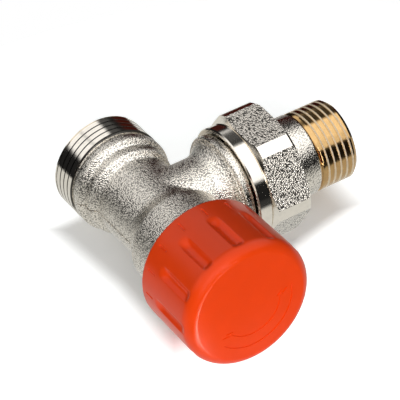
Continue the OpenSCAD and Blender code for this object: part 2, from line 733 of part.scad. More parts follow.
module cap_notches() for (i = [0:notches - 1])
    rotate([0, 0, 90 + 360 * i / notches])
        translate([cap_rim_r - notch_depth, -notch_w / 2, cap_rim + notch_start])
            cube([over, notch_w, notch_len]);

module cap_inner_ribs() for (i = [0:cap_ribs - 1])
    rotate([0, 0, 90 + 360 * i / cap_ribs])
        translate([cap_pad_r - 0.2, -cap_rib_t / 2, cap_inside - cap_rib_h])
            cube([cap_inner_r - cap_pad_r + 0.6, cap_rib_t, cap_rib_h + 0.5]);

// Plain curved arrow that shows which way the cap turns
module turning_arrow() {
    sweep_from = -20;
    sweep_to = -138;
    steps = 20;
    head = 14;
    mid = (arrow_out_r + arrow_in_r) / 2;
    module band(r) polygon(concat(
        arc(0, 0, r + arrow_line_w / 2, sweep_from, sweep_to, steps),
        arc(0, 0, r - arrow_line_w / 2, sweep_to, sweep_from, steps)
    ));
    module tip(at, turn) rotate(at) polygon([
        [arrow_out_r + 0.8, 0], [arrow_in_r - 0.8, 0], [mid * cos(turn), mid * sin(turn)]
    ]);
    translate([0, 0, cap_front - 0.1]) linear_extrude(arrow_line_h + 0.1) {
        band(arrow_out_r);
        band(arrow_in_r);
        tip(sweep_from, head);
        tip(sweep_to, -head);
    }
}

module protective_cap() color(orange) towards_cap() {
    difference() {
        cap_cup();
        cap_flutes();
        cap_notches();
    }
    cap_inner_ribs();
    translate([0, 0, cap_pad_face]) cylinder(r = cap_pad_r, h = cap_pad_h + 0.5);
    turning_arrow();
}

// Tailpiece: the coned spigot, pull collar, neck and radiator thread in one turned piece
module tailpiece() color(brass) towards_radiator() difference() {
    tail_root_r = tail_thread_r - whitworth_depth * parallel_pitch;
    tail_neck_end = tail_thread_start - edge - (tail_neck_r - tail_root_r) / 2;
    turned(concat(
        [
            [0, tail_start], [spigot_r - mouth_chamfer, tail_start], [spigot_r, tail_start + mouth_chamfer],
            [spigot_r, tail_seal_start], [spigot_r - tail_seal_h, tail_seal_start],
            [spigot_r - tail_seal_h, tail_seal_start + tail_seal_w],
            [spigot_r, tail_seal_start + tail_seal_w], [spigot_r, tail_collar_start],
            [tail_collar_r, tail_collar_start], [tail_collar_r, tail_collar_end],
            [tail_neck_r, tail_collar_end], [tail_neck_r, tail_neck_end],
            [tail_root_r, tail_thread_start - edge]
        ],
        thread(tail_thread_r, parallel_pitch, whitworth_depth, tail_thread_start, tail_thread_len - edge),
        [[tail_root_r, tail_end], [0, tail_end]]
    ));
    translate([0, 0, tail_start - over]) cylinder(r = key_af / 2, h = tail_end, $fn = 64);
    translate([0, 0, tail_start - over])
        cylinder(r = tail_bore_r, h = tail_end - key_start - key_len - tail_start + over);
    translate([0, 0, tail_end - key_start]) cylinder(r = tail_bore_r, h = key_start + over);
    hexagon(key_af, tail_start, tail_end);
}

module tail_o_ring() color(rubber) towards_radiator()
    o_ring(spigot_r - tail_seal_h + seal_gap, tail_seal_h - seal_gap,
        tail_seal_start + (tail_seal_w - tail_seal_h) / 2);

// Union nut: round collar, turned corners and an inner web that pulls the tail in
module union_nut() color(nickel) towards_radiator() {
    end_drop = nut_corner_r - nut_af / 2;
    difference() {
        union() {
            turned([
                [0, nut_start], [nut_collar_r - edge, nut_start], [nut_collar_r, nut_start + edge],
                [nut_collar_r, nut_hex_start], [nut_af / 2 - edge, nut_hex_start + edge],
                [0, nut_hex_start + edge]
            ]);
            intersection() {
                rotate([0, 0, nut_turn]) hexagon(nut_af, nut_hex_start, nut_end);
                turned([
                    [0, nut_hex_start], [nut_collar_r, nut_hex_start],
                    [nut_corner_r, nut_hex_start + nut_corner_r - nut_collar_r],
                    [nut_corner_r, nut_end - end_drop * tan(nut_end_angle)],
                    [nut_af / 2 - edge, nut_end], [0, nut_end]
                ]);
            }
        }
        translate([0, 0, nut_start - over])
            cylinder(r = union_thread_r + thread_gap, h = nut_web_start - nut_start + over);
        cylinder(r = tail_neck_r + neck_gap, h = nut_end + over);
    }
}

valve_body();
insert_body();
insert_o_ring();
gland_housing();
gland_o_ring_lower();
gland_washer();
gland_o_ring_upper();
gland_bush();
gland_nut();
return_spring();
spindle();
push_pin();
spring_plate();
retaining_ring();
disc_holder();
disc_seal();
disc_washer();
disc_nut();
protective_cap();
tailpiece();
tail_o_ring();
union_nut();
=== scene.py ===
"""Angled thermostatic radiator valve: forged nickel body, union nut, brass tail and orange cap."""

import math

import bmesh
import bpy
from bpy.props import FloatProperty, FloatVectorProperty, IntProperty, PointerProperty
from mathutils import Matrix, Vector


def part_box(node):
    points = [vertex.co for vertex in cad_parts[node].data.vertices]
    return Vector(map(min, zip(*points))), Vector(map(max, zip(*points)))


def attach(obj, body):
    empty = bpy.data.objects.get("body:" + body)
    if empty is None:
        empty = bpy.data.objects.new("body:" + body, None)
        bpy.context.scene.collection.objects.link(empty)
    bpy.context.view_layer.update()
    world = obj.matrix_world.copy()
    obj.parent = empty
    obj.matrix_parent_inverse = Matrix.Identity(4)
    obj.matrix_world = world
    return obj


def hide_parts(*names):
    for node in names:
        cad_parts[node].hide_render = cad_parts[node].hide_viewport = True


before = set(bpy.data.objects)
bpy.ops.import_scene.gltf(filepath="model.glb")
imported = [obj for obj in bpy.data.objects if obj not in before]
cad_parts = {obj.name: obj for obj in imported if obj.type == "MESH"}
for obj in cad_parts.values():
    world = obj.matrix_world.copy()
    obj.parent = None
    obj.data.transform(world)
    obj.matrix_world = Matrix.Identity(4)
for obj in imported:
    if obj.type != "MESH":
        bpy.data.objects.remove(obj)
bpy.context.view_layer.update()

bl_info = {
    "name": "Angled Radiator Valve",
    "version": (1, 0, 0),
    "blender": (4, 5, 0),
    "location": "3D View > Sidebar > Valve",
    "description": "Dresses the packed radiator valve with forged, turned, threaded and moulded pieces",
    "category": "Object",
}

MM = 0.001


def middle(node, axis):
    low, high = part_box(node)
    return (low[axis] + high[axis]) / 2


# The stem axis and the radiator axis cross here, and every outline is in mm from this point
CROSSING = Vector((middle("push_pin", 0), middle("tailpiece", 1), middle("push_pin", 2)))
TO_FRAME = Matrix.Translation(CROSSING) @ Matrix.Scale(MM, 4)

TOWARDS_CAP = Matrix.Rotation(math.pi / 2, 4, "X")
TOWARDS_PIPE = Matrix.Rotation(-math.pi / 2, 4, "X")
TOWARDS_RADIATOR = Matrix.Rotation(math.pi / 2, 4, "Y")


def station(node, end, axis):
    """Where a CAD node's box ends on an axis, in mm from the crossing."""
    return (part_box(node)[end][axis] - CROSSING[axis]) / MM


PIPE_END = station("valve_body", 1, 1)
BRANCH_END = station("valve_body", 1, 0)
CAP_RIM = -station("protective_cap", 1, 1)
CAP_FRONT = -station("protective_cap", 0, 1)
TAIL_START = station("tailpiece", 0, 0)
TAIL_END = station("tailpiece", 1, 0)
NUT_START = station("union_nut", 0, 0)
NUT_END = station("union_nut", 1, 0)


# Sizes and colours that a user would change


def millimetres(name, description, default):
    return FloatProperty(name=name, description=description, default=default, min=0.0, precision=3)


def metres(name, description, default):
    return FloatProperty(name=name, description=description, default=default, unit="LENGTH")


def degrees(name, description, default):
    angle = math.radians(default)
    return FloatProperty(name=name, description=description, default=angle, subtype="ANGLE")


def colour(name, description, default):
    return FloatVectorProperty(
        name=name, description=description, default=default, size=3, min=0.0, max=1.0, subtype="COLOR"
    )


class BodySizes(bpy.types.PropertyGroup):
    """Sizes of the forging in mm."""

    tube_r: millimetres("Tube radius", "Radius of the grainy tube behind the pipe thread", 10.9)
    branch_r: millimetres("Branch radius", "Radius of the branch before it flares", 10.7)
    boss_r: millimetres("Boss radius", "Radius of the boss behind the cap", 12.85)
    boss_end_r: millimetres("Boss end radius", "Radius of the boss at the neck", 14.0)
    lip_r: millimetres("Lip radius", "Radius of the lip in front of the union nut", 14.3)
    bulge_r: millimetres("Bulge radius", "Radius of the round ring behind the pipe thread", 13.5)
    ring_r: millimetres("Ring radius", "Radius of the smaller ring behind it", 12.3)
    boss_edge: millimetres("Boss edge", "Distance from the crossing to the crisp edge of the boss", 9.2)
    flash: millimetres("Flash", "How far the lower half stands proud at the parting line", 0.14)
    parting: millimetres("Parting line", "Depth of the parting line", 0.5)
    voxel: millimetres("Grain of the mesh", "Edge length of the forging's mesh", 0.3)
    soften: IntProperty(
        name="Softening", description="Passes that round the corner of the branch", default=12
    )


class ThreadSizes(bpy.types.PropertyGroup):
    """Sizes of the threads in mm."""

    pitch: millimetres("Pitch", "Pitch of the pipe, union and radiator threads", 1.814)
    pipe_r: millimetres("Pipe thread radius", "Crest radius of the pipe thread", 13.62)
    union_r: millimetres("Union thread radius", "Crest radius of the thread under the union nut", 13.22)
    tail_r: millimetres("Tail thread radius", "Crest radius of the radiator thread", 10.78)
    depth: millimetres("Thread depth", "Depth of the thread under the union nut", 0.82)
    shallow: millimetres("Shallow depth", "Depth of the two open threads", 0.42)
    overrun: millimetres("Overrun", "How far the two open ends stand over the plain ones", 0.7)
    crest: FloatProperty(
        name="Nickel crest", description="Share of the pitch on the flat crest", default=0.78
    )
    brass_crest: FloatProperty(
        name="Brass crest", description="Share of the pitch on the brass thread's flat crest", default=0.66
    )
    neck_r: millimetres("Neck thread radius", "Crest radius of the neck thread", 15.0)
    neck_pitch: millimetres("Neck pitch", "Pitch of the neck thread", 1.5)
    around: IntProperty(name="Steps around", description="Faces in one turn of a thread", default=96)


class CapSizes(bpy.types.PropertyGroup):
    """Sizes of the protective cap in mm."""

    rim_r: millimetres("Rim radius", "Radius at the open end", 17.4)
    front_r: millimetres("Front radius", "Radius at the closed end", 17.7)
    edge_r: millimetres("Edge rounding", "Rounding of the front edge", 3.4)
    edge_tilt: degrees("Edge tilt", "Tilt with which the rounding leaves the front", 14)
    dome: millimetres("Front allowance", "How far the front stands over the plain CAD front", 1.45)
    flutes: IntProperty(name="Flutes", description="Grip flutes around the cap", default=12)
    flute_w: millimetres("Flute width", "Width of a flute", 3.2)
    flute_depth: millimetres("Flute depth", "Depth of a flute", 0.85)
    notches: IntProperty(name="Notches", description="Short notches near the rim", default=16)
    notch_depth: millimetres("Notch depth", "Depth of a notch", 0.2)


class NutSizes(bpy.types.PropertyGroup):
    """Sizes of the union nut in mm."""

    across_flats: millimetres("Across flats", "Width of the hexagon", 31.7)
    corner_r: millimetres("Corner radius", "Radius of the turned corners", 17.4)
    collar_r: millimetres("Collar radius", "Radius of the collar", 15.6)
    collar_start: millimetres("Collar start", "Distance from the nut's plain end to the collar", 0.75)
    collar_len: millimetres("Collar length", "Distance from the nut's plain end to the hexagon", 4.35)
    overrun: millimetres("Overrun", "How far the hexagon stands over the plain end", 0.4)
    turn: degrees("Turn", "Angle of the hexagon", 34.4)


class Colours(bpy.types.PropertyGroup):
    """Base colours of the finishes."""

    nickel: colour("Nickel", "Plating on the body, the nut and the tail's neck", (0.85, 0.80, 0.72))
    # Painted highlight on the brass thread's flanks that face -X
    brass: colour("Brass", "Bare brass threads and inner pieces", (0.55, 0.35, 0.15))
    flank_highlight: colour("Brass burr", "Flanks of the brass thread", (0.90, 0.82, 0.66))
    orange: colour("Cap", "Moulded plastic of the cap", (0.86, 0.054, 0.001))
    steel: colour("Steel", "Stainless stem and spring", (0.66, 0.66, 0.65))
    rubber: colour("Rubber", "Seals", (0.025, 0.025, 0.027))
    white: colour("White plastic", "Gland bush", (0.80, 0.79, 0.75))


class View(bpy.types.PropertyGroup):
    """Where the camera stands, and the floor that the valve lies on."""

    azimuth: degrees("Azimuth", "0 looks along +Y", -28.337)
    elevation: degrees("Elevation", "Height of the camera", 38.268)
    roll: degrees("Roll", "Turn of the camera about its view", -5.740)
    distance: metres("Distance", "Camera to aim point", 0.7405)
    lens: FloatProperty(name="Lens", description="Focal length in mm on a 36 mm sensor", default=265.44)
    aim: FloatVectorProperty(
        name="Aim", description="Aim point in mm from the crossing", default=(10.62, -3.42, 2.47), size=3
    )
    floor_drop: millimetres("Floor drop", "Floor under the crossing", 15.47)
    floor_rise: FloatProperty(name="Floor slope", description="Rise of the floor along +Y", default=0.0817)
    floor_r: metres("Floor radius", "Radius of the pale floor", 0.15)
    floor_shift: metres("Floor shift", "How far the floor's middle lies in front", 0.05)


# Node trees written as expressions


# Sockets that are found by their place in the node, since others share their names
COLOUR_MIX_FACTOR = 0
COLOUR_MIX_FIRST = 6
COLOUR_MIX_SECOND = 7
COLOUR_MIX_RESULT = 2
TEXTURE_GENERATED = 0
TEXTURE_OBJECT = 3


class Value:
    """A socket of a node tree, so that shader maths reads as an expression."""

    def __init__(self, tree, socket):
        self.tree = tree
        self.socket = socket

    def math(self, operation, *terms):
        return self.tree.node("ShaderNodeMath", {"operation": operation}, dict(enumerate(terms)))

    def __add__(self, other):
        return self.math("ADD", self, other)

    __radd__ = __add__

    def __sub__(self, other):
        return self.math("SUBTRACT", self, other)

    def __rsub__(self, other):
        return self.math("SUBTRACT", other, self)

    def __mul__(self, other):
        return self.math("MULTIPLY", self, other)

    __rmul__ = __mul__

    def most(self, other):
        return self.math("MAXIMUM", self, other)

    def ramp(self, low, high):
        """0 below low, 1 above high and smooth between."""
        settings = {"interpolation_type": "SMOOTHSTEP"}
        inputs = {"Value": self, "From Min": low, "From Max": high}
        return self.tree.node("ShaderNodeMapRange", settings, inputs)


class Tree:
    """A node tree that is built node by node."""

    def __init__(self, nodes_of):
        nodes_of.use_nodes = True
        self.nodes = nodes_of.node_tree.nodes
        self.links = nodes_of.node_tree.links
        self.nodes.clear()

    def node(self, kind, settings=None, inputs=None, output=0):
        """Adds a node, with its settings first and then the values or links of its sockets."""
        made = self.nodes.new(kind)
        for name, value in (settings or {}).items():
            setattr(made, name, value)
        for name, value in (inputs or {}).items():
            self.feed(made.inputs[name], value)
        return Value(self, made.outputs[output]) if made.outputs else None

    def feed(self, socket, value):
        if isinstance(value, Value):
            self.links.new(value.socket, socket)
        else:
            socket.default_value = value

    def place(self):
        return self.node("ShaderNodeTexCoord", output=TEXTURE_OBJECT)

    def axis(self, vector, name):
        return self.node("ShaderNodeSeparateXYZ", {}, {"Vector": vector}, "XYZ".index(name))

    def mix(self, mask, first, second):
        """The first colour where mask is 0 and the second where it is 1."""
        inputs = {COLOUR_MIX_FACTOR: mask, COLOUR_MIX_FIRST: first, COLOUR_MIX_SECOND: second}
        return self.node("ShaderNodeMix", {"data_type": "RGBA"}, inputs, COLOUR_MIX_RESULT)

    def noise(self, vector, size_mm, detail, roughness):
        inputs = {"Vector": vector, "Scale": 1 / (size_mm * MM), "Detail": detail, "Roughness": roughness}
        return self.node("ShaderNodeTexNoise", {}, inputs)

    def cells(self, vector, size_mm):
        return self.node("ShaderNodeTexVoronoi", {}, {"Vector": vector, "Scale": 1 / (size_mm * MM)})

    def bump(self, height, depth_mm):
        inputs = {"Height": height, "Distance": depth_mm * MM, "Strength": 1.0}
        return self.node("ShaderNodeBump", {}, inputs)


def opaque(shade):
    return (*shade, 1.0)


def tinted(shade, factor):
    return (shade[0] * factor, shade[1] * factor, shade[2] * factor, 1.0)


def finish(name, sockets, uniform):
    """A material with one Principled shader: varying sockets linked and uniform ones set."""
    material = bpy.data.materials.new(name)
    tree = Tree(material)
    inputs = dict(uniform)
    inputs.update(sockets(tree))
    shader = tree.node("ShaderNodeBsdfPrincipled", {}, inputs)
    tree.node("ShaderNodeOutputMaterial", {}, {"Surface": shader})
    return material


def blasted(name, shades, pit_shade, depth_mm):
    """Shot-blasted plating: bright facets and pits less than half a millimetre across, with the pits darkened
    by painted shade.
    """

    def sockets(tree):
        place = tree.place()
        grain = tree.cells(place, 0.38)
        lumps = tree.noise(place, 2.2, 2.0, 0.5)
        # Painted shade: the pits get a darker tint of the nickel
        shaded_pits = 1 - grain.ramp(0.46, 0.70)
        return {
            "Base Color": tree.mix(shaded_pits, tinted(shades.nickel, pit_shade), opaque(shades.nickel)),
            "Roughness": 0.17 + shaded_pits * 0.08,
            "Normal": tree.bump(lumps * 0.3 - grain, depth_mm),
        }

    return finish(name, sockets, {"Metallic": 1.0})


def blasted_nickel(shades):
    return blasted("blasted_nickel", shades, 0.42, 0.112)


# The darkest painted shade in the pits and a deeper bump, for the nut's flats
def shaded_coarse_nickel(shades):
    return blasted("shaded_coarse_nickel", shades, 0.16, 0.13)


def satin_nickel(shades):
    return blasted("satin_nickel", shades, 0.50, 0.06)


def turned_nickel(shades):
    """Machined plating: smooth, with faint turning lines."""

    def sockets(tree):
        place = tree.place()
        haze = tree.noise(place, 1.6, 3.0, 0.6)
        fine = tree.noise(place, 0.12, 1.0, 0.5)
        return {
            "Base Color": tree.mix(haze.ramp(0.35, 0.75), opaque(shades.nickel), tinted(shades.nickel, 0.93)),
            "Roughness": 0.05 + haze * 0.08,
            "Normal": tree.bump(fine, 0.006),
        }

    return finish("turned_nickel", sockets, {"Metallic": 1.0})


def shaded_groove_nickel(shades):
    """Plating between the threads, darkened by painted shade: dark on top and paler towards the floor."""

    def sockets(tree):
        place = tree.place()
        # Painted shade: the upper side of the grooves gets a tenth of the nickel's colour, the lower side
        # eight tenths
        shade_on_top = tree.axis(place, "Z").ramp(CROSSING.z - 0.006, CROSSING.z - 0.002)
        haze = tree.noise(place, 0.6, 2.0, 0.5)
        return {
            "Base Color": tree.mix(shade_on_top, tinted(shades.nickel, 0.8), tinted(shades.nickel, 0.10)),
            "Roughness": 0.2 + haze * 0.2,
        }

    return finish("shaded_groove_nickel", sockets, {"Metallic": 1.0})


def painted_highlight_brass(shades):
    """Painted highlight: a pale, rough colour on the brass thread's flanks that face -X."""

    def sockets(tree):
        haze = tree.noise(tree.place(), 0.5, 2.0, 0.5)
        return {"Base Color": opaque(shades.flank_highlight), "Roughness": 0.45 + haze * 0.2}

    return finish("painted_highlight_brass", sockets, {"Metallic": 0.6})


def turned_brass(shades):
    """Bare machined brass."""

    def sockets(tree):
        place = tree.place()
        haze = tree.noise(place, 1.2, 3.0, 0.6)
        fine = tree.noise(place, 0.15, 1.0, 0.5)
        return {
            "Base Color": tree.mix(haze.ramp(0.35, 0.7), opaque(shades.brass), tinted(shades.brass, 0.86)),
            "Roughness": 0.06 + haze * 0.10,
            "Normal": tree.bump(fine, 0.006),
        }

    return finish("turned_brass", sockets, {"Metallic": 1.0})


def stem_steel(shades):
    """Drawn stainless steel of the stem, spring and ring."""

    def sockets(tree):
        haze = tree.noise(tree.place(), 0.8, 3.0, 0.6)
        return {"Base Color": opaque(shades.steel), "Roughness": 0.18 + haze * 0.14}

    return finish("stem_steel", sockets, {"Metallic": 1.0})


def moulded_orange(shades):
    """Moulded plastic with a fine satin skin."""

    def sockets(tree):
        place = tree.place()
        cloud = tree.noise(place, 5.0, 2.0, 0.5)
        skin = tree.noise(place, 0.25, 2.0, 0.6)
        return {
            "Base Color": tree.mix(cloud.ramp(0.3, 0.7), tinted(shades.orange, 0.97), opaque(shades.orange)),
            "Roughness": 0.26 + skin * 0.08,
            "Normal": tree.bump(skin, 0.004),
        }

    return finish("moulded_orange", sockets, {"IOR": 1.45, "Specular IOR Level": 0.34})


def seal_rubber(shades):
    """Black rubber of the seals."""

    def sockets(tree):
        skin = tree.noise(tree.place(), 0.3, 2.0, 0.6)
        return {
            "Base Color": opaque(shades.rubber),
            "Roughness": 0.5 + skin * 0.2,
            "Normal": tree.bump(skin, 0.01),
        }

    return finish("seal_rubber", sockets, {})


def bush_plastic(shades):
    """White plastic of the gland bush."""

    def sockets(tree):
        cloud = tree.noise(tree.place(), 0.9, 2.0, 0.5)
        return {"Base Color": opaque(shades.white), "Roughness": 0.38 + cloud * 0.1}

    return finish("bush_plastic", sockets, {})


FINISHES = {
    "blasted_nickel": blasted_nickel,
    "shaded_coarse_nickel": shaded_coarse_nickel,
    "satin_nickel": satin_nickel,
    "turned_nickel": turned_nickel,
    "shaded_groove_nickel": shaded_groove_nickel,
    "painted_highlight_brass": painted_highlight_brass,
    "turned_brass": turned_brass,
    "stem_steel": stem_steel,
    "moulded_orange": moulded_orange,
    "seal_rubber": seal_rubber,
    "bush_plastic": bush_plastic,
}


def finished(name):
    """The material of that name, made the first time that a piece asks for it."""
    return bpy.data.materials.get(name) or FINISHES[name](bpy.context.scene.valve_colours)


# Shapes in mm about a local Z axis

DOUBLES = 0.0005
ON_PLANE = 0.0001
ROUND = 128
FINE_ROUND = 192
SHARP_FROM = 35


def arc(centre, radius, start, end, steps):
    """Points of a round stretch of an outline, with angles in degrees."""
    angles = [math.radians(start + (end - start) * i / steps) for i in range(steps + 1)]
    return [(centre[0] + radius * math.cos(a), centre[1] + radius * math.sin(a)) for a in angles]


def smooth(share):
    held = min(max(share, 0.0), 1.0)
    return held * held * (3 - 2 * held)


def as_object(bm, name, towards=None):
    """A scene object from a bmesh, turned from local Z to its own axis."""
    if towards:
        bmesh.ops.transform(bm, matrix=towards, verts=bm.verts)
    mesh = bpy.data.meshes.new(name)
    bm.to_mesh(mesh)
    bm.free()
    made = bpy.data.objects.new(name, mesh)
    bpy.context.scene.collection.objects.link(made)
    return made


def spun(outline, segments):
    """A bmesh from an outline of (radius, station) points, turned about Z."""
    bm = bmesh.new()
    ring = [bm.verts.new((radius, 0.0, along)) for radius, along in outline]
    edges = [bm.edges.new(pair) for pair in zip(ring, ring[1:])]
    bmesh.ops.spin(
        bm, geom=ring + edges, cent=(0, 0, 0), axis=(0, 0, 1), angle=math.tau, steps=segments, use_merge=True
    )
    bmesh.ops.remove_doubles(bm, verts=bm.verts, dist=DOUBLES)
    bmesh.ops.recalc_face_normals(bm, faces=bm.faces)
    return bm


def turned(name, outline, towards, segments=ROUND):
    return as_object(spun(outline, segments), name, towards)


def apply_modifiers(made):
    """Replaces an object's mesh by the one that its modifiers make."""
    depsgraph = bpy.context.evaluated_depsgraph_get()
    mesh = bpy.data.meshes.new_from_object(made.evaluated_get(depsgraph))
    made.modifiers.clear()
    worn = made.data
    made.data = mesh
    bpy.data.meshes.remove(worn)


def combine(target, other, operation):
    """Joins, cuts or intersects target with other, which is used up."""
    modifier = target.modifiers.new(operation.lower(), "BOOLEAN")
    modifier.operation = operation
    modifier.solver = "MANIFOLD"
    modifier.object = other
    apply_modifiers(target)
    bpy.data.objects.remove(other)
    if not target.data.polygons:
        raise RuntimeError(f"{target.name}: nothing is left after {operation}")
    return target


def hexagon(name, apothem, start, end, turn):
    """A six-sided bar along the radiator axis."""
    corner_r = apothem / math.cos(math.pi / 6)
    bm = bmesh.new()
    length = end - start
    bmesh.ops.create_cone(bm, cap_ends=True, segments=6, radius1=corner_r, radius2=corner_r, depth=length)
    bmesh.ops.rotate(bm, verts=bm.verts, matrix=Matrix.Rotation(turn, 3, "Z"))
    bmesh.ops.translate(bm, verts=bm.verts, vec=(0, 0, (end + start) / 2))
    return as_object(bm, name, TOWARDS_RADIATOR)


def thread_profile(crest_r, pitch, depth, crest):
    """One pitch of a thread from crest to crest, as (radius, station) points."""
    half = crest / 2
    drops = [(0.0, 0.0), (half, 0.02), (0.47, 0.98), (0.49, 1.0)]
    falling = [(crest_r - depth * sunk, pitch * share) for share, sunk in drops]
    return falling + [(radius, pitch - along) for radius, along in reversed(falling)]


def threaded(name, crest_r, pitch, depth, crest, start, end, towards, barrel):
    """A solid helical thread between two stations, trimmed by a barrel outline."""
    steps = bpy.context.scene.valve_threads.around
    turns = math.ceil((end - start) / pitch) + 2
    bm = bmesh.new()
    profile = thread_profile(crest_r, pitch, depth, crest)
    ring = [bm.verts.new((radius, 0.0, start - pitch + along)) for radius, along in profile]
    edges = [bm.edges.new(pair) for pair in zip(ring, ring[1:])]
    bmesh.ops.spin(
        bm, geom=ring + edges, cent=(0, 0, 0), axis=(0, 0, 1), dvec=(0, 0, pitch / steps),
        angle=math.tau * turns, steps=steps * turns
    )
    bmesh.ops.remove_doubles(bm, verts=bm.verts, dist=DOUBLES)
    for level, outwards in ((start, -1), (end, 1)):
        everything = bm.verts[:] + bm.edges[:] + bm.faces[:]
        bmesh.ops.bisect_plane(
            bm, geom=everything, dist=ON_PLANE, plane_co=(0, 0, level), plane_no=(0, 0, outwards),
            clear_outer=True
        )
    bmesh.ops.holes_fill(bm, edges=[edge for edge in bm.edges if edge.is_boundary], sides=0)
    bmesh.ops.recalc_face_normals(bm, faces=bm.faces)
    made = as_object(bm, name, towards)
    return combine(made, turned("barrel", barrel, towards), "INTERSECT")


def place_piece(made, node, body, finishes, pick=None, crease=SHARP_FROM):
    """Puts a finished piece in the frame in place of its CAD node."""
    mesh = made.data
    mesh.transform(TO_FRAME)
    mesh.materials.clear()
    for name in finishes:
        mesh.materials.append(finished(name))
    if pick:
        for face in mesh.polygons:
            face.material_index = pick((face.center - CROSSING) / MM, face)
    mesh.shade_smooth()
    mesh.set_sharp_from_angle(angle=math.radians(crease))
    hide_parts(node)
    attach(made, body)


# Valve body, with stations and radii in mm from the crossing

TUBE_FROM = -4.0
RING_SLOPE = (11.3, 12.7)
BULGE_SLOPE = (15.4, 16.6)
BULGE_BACK = 19.95
BOSS_BACK = 20.6
FLARE = (13.0, 18.1)
LIP = (18.0, 20.35)
PIPE_THREAD_FROM = 20.2
UNION_THREAD_FROM = 20.9
NECK_THREAD = (21.4, 27.5)
NECK_THREAD_DEPTH = 0.9
CORNER_REACHES = (2.0, 1.5, 1.0)
SEAT_R = 5.5
SEAT_AT = 9.5
DRILLED_FROM = 10.762
PIPE_BORE_R = 7.6
PIPE_MOUTH_R = 9.3
PIPE_MOUTH_LEN = 6.344
BRANCH_BORE_R = 7.0
SPIGOT_SOCKET_R = 9.5
SPIGOT_SOCKET_LEN = 5.6
CHAMBER = (
    (0.0, -6.7), (6.3, -6.7), (6.3, -7.5), (9.0, -7.5), (9.0, 11.5), (10.0, 11.5), (10.0, 18.5),
    (11.0, 18.5), (11.0, 28.5), (0.0, 28.5)
)


def slope(low, high, start, end):
    """A slope between two levels with rounded ends."""
    steps = 8
    shares = [i / steps for i in range(steps + 1)]
    return [(low + (high - low) * (0.6 * u + 0.4 * smooth(u)), start + (end - start) * u) for u in shares]


def tube_outline(sizes):
    """The tube from the crossing to the pipe thread, with its two rounded rings."""
    tube, ring, bulge = sizes.tube_r, sizes.ring_r, sizes.bulge_r
    points = [(0.0, TUBE_FROM), (tube, TUBE_FROM), (tube, 10.2), (tube + 0.05, 11.0)]
    points += slope(tube + 0.1, ring, *RING_SLOPE)
    points += [(ring + 0.08, 13.2), (ring + 0.04, 15.1)]
    points += slope(ring + 0.06, bulge, *BULGE_SLOPE)
    points += [(bulge + 0.1, 17.2), (bulge + 0.1, 18.6), (bulge - 0.2, 19.5)]
    return points + [(bulge - 0.75, BULGE_BACK), (0.0, BULGE_BACK)]


def boss_outline(sizes):
    """The tube, the hollow slope and the boss."""
    tube, boss, end_r, edge = sizes.tube_r, sizes.boss_r, sizes.boss_end_r, sizes.boss_edge
    back = BOSS_BACK - 0.3
    points = [(0.0, TUBE_FROM), (tube, TUBE_FROM), (tube, edge - 5.0), (tube + 0.08, edge - 4.4)]
    points += [(tube + 0.28, edge - 3.7), (tube + 0.62, edge - 2.8), (boss - 0.45, edge - 0.8), (boss, edge)]
    return points + [(boss, edge + 0.3), (end_r - 0.4, back), (0.0, back)]


def boss_skin(sizes):
    """The outer boss, joined after the blending so that its edge stays crisp."""
    boss, edge, end_r = sizes.boss_r, sizes.boss_edge, sizes.boss_end_r
    return [
        (0.0, edge), (boss - 0.5, edge), (boss + 0.32, edge + 0.12), (boss + 0.5, edge + 0.5),
        (boss + 0.56, edge + 2.0), (end_r - 0.1, BOSS_BACK - 0.4), (end_r - 0.3, BOSS_BACK), (0.0, BOSS_BACK)
    ]


def branch_outline(sizes):
    """The branch and its trumpet flare."""
    start, end = FLARE
    run, climb = end - start, sizes.lip_r - 0.55 - sizes.branch_r
    flare_r = (run * run + climb * climb) / (2 * climb)
    last = 180 - math.degrees(math.asin(run / flare_r))
    points = [(0.0, 0.0), (sizes.branch_r, 0.0)]
    points += arc((sizes.branch_r + flare_r, start), flare_r, 180, last, 16)
    return points + [(0.0, end)]


def lip_ring(sizes):
    """The turned ring in front of the union nut, behind a fine groove."""
    lip = sizes.lip_r
    start, end = LIP
    return [
        (0.0, start - 0.4), (lip - 1.0, start - 0.4), (lip - 1.0, start), (lip - 0.35, start + 0.1),
        (lip, start + 0.45), (lip, end - 0.35), (lip - 0.2, end), (0.0, end)
    ]


def soften_corner(bm, sizes):
    """Rounds the corner where the branch leaves the tube."""

    def near(vert, reach):
        x, y, z = vert.co
        from_stem = math.hypot(x, z)
        from_branch = math.hypot(y, z)
        held = reach if y > 0 else reach * 0.7
        apart = max(abs(from_stem - sizes.tube_r), abs(from_branch - sizes.branch_r))
        return x > 0 and y > -8 and apart < held

    all_axes = {"use_axis_x": True, "use_axis_y": True, "use_axis_z": True}
    bmesh.ops.smooth_vert(bm, verts=bm.verts, factor=0.5, **all_axes)
    for reach in CORNER_REACHES:
        chosen = [vert for vert in bm.verts if near(vert, reach)]
        for _ in range(sizes.soften // len(CORNER_REACHES)):
            bmesh.ops.smooth_vert(bm, verts=chosen, factor=0.5, **all_axes)


def raise_flash(bm, sizes):
    """Cuts the fine parting line and lets the lower half stand proud by a hair."""
    half_width, last_x, last_y, fade = 0.2, 12, 19, 2
    for level in (half_width, 0.0, -half_width):
        everything = bm.verts[:] + bm.edges[:] + bm.faces[:]
        bmesh.ops.bisect_plane(
            bm, geom=everything, dist=ON_PLANE, plane_co=(0, 0, level), plane_no=(0, 0, 1)
        )
    bm.normal_update()
    moves = {}
    for vert in bm.verts:
        x, y, z = vert.co
        if z < half_width / 2 and x < last_x and abs(y) < last_y:
            held = smooth((last_y - abs(y)) / fade) * smooth((last_x - x) / fade)
            reach = -sizes.parting if z > -half_width / 2 else sizes.flash * smooth(1 + z / 7)
            moves[vert] = vert.normal * reach * held
    for vert, move in moves.items():
        vert.co += move


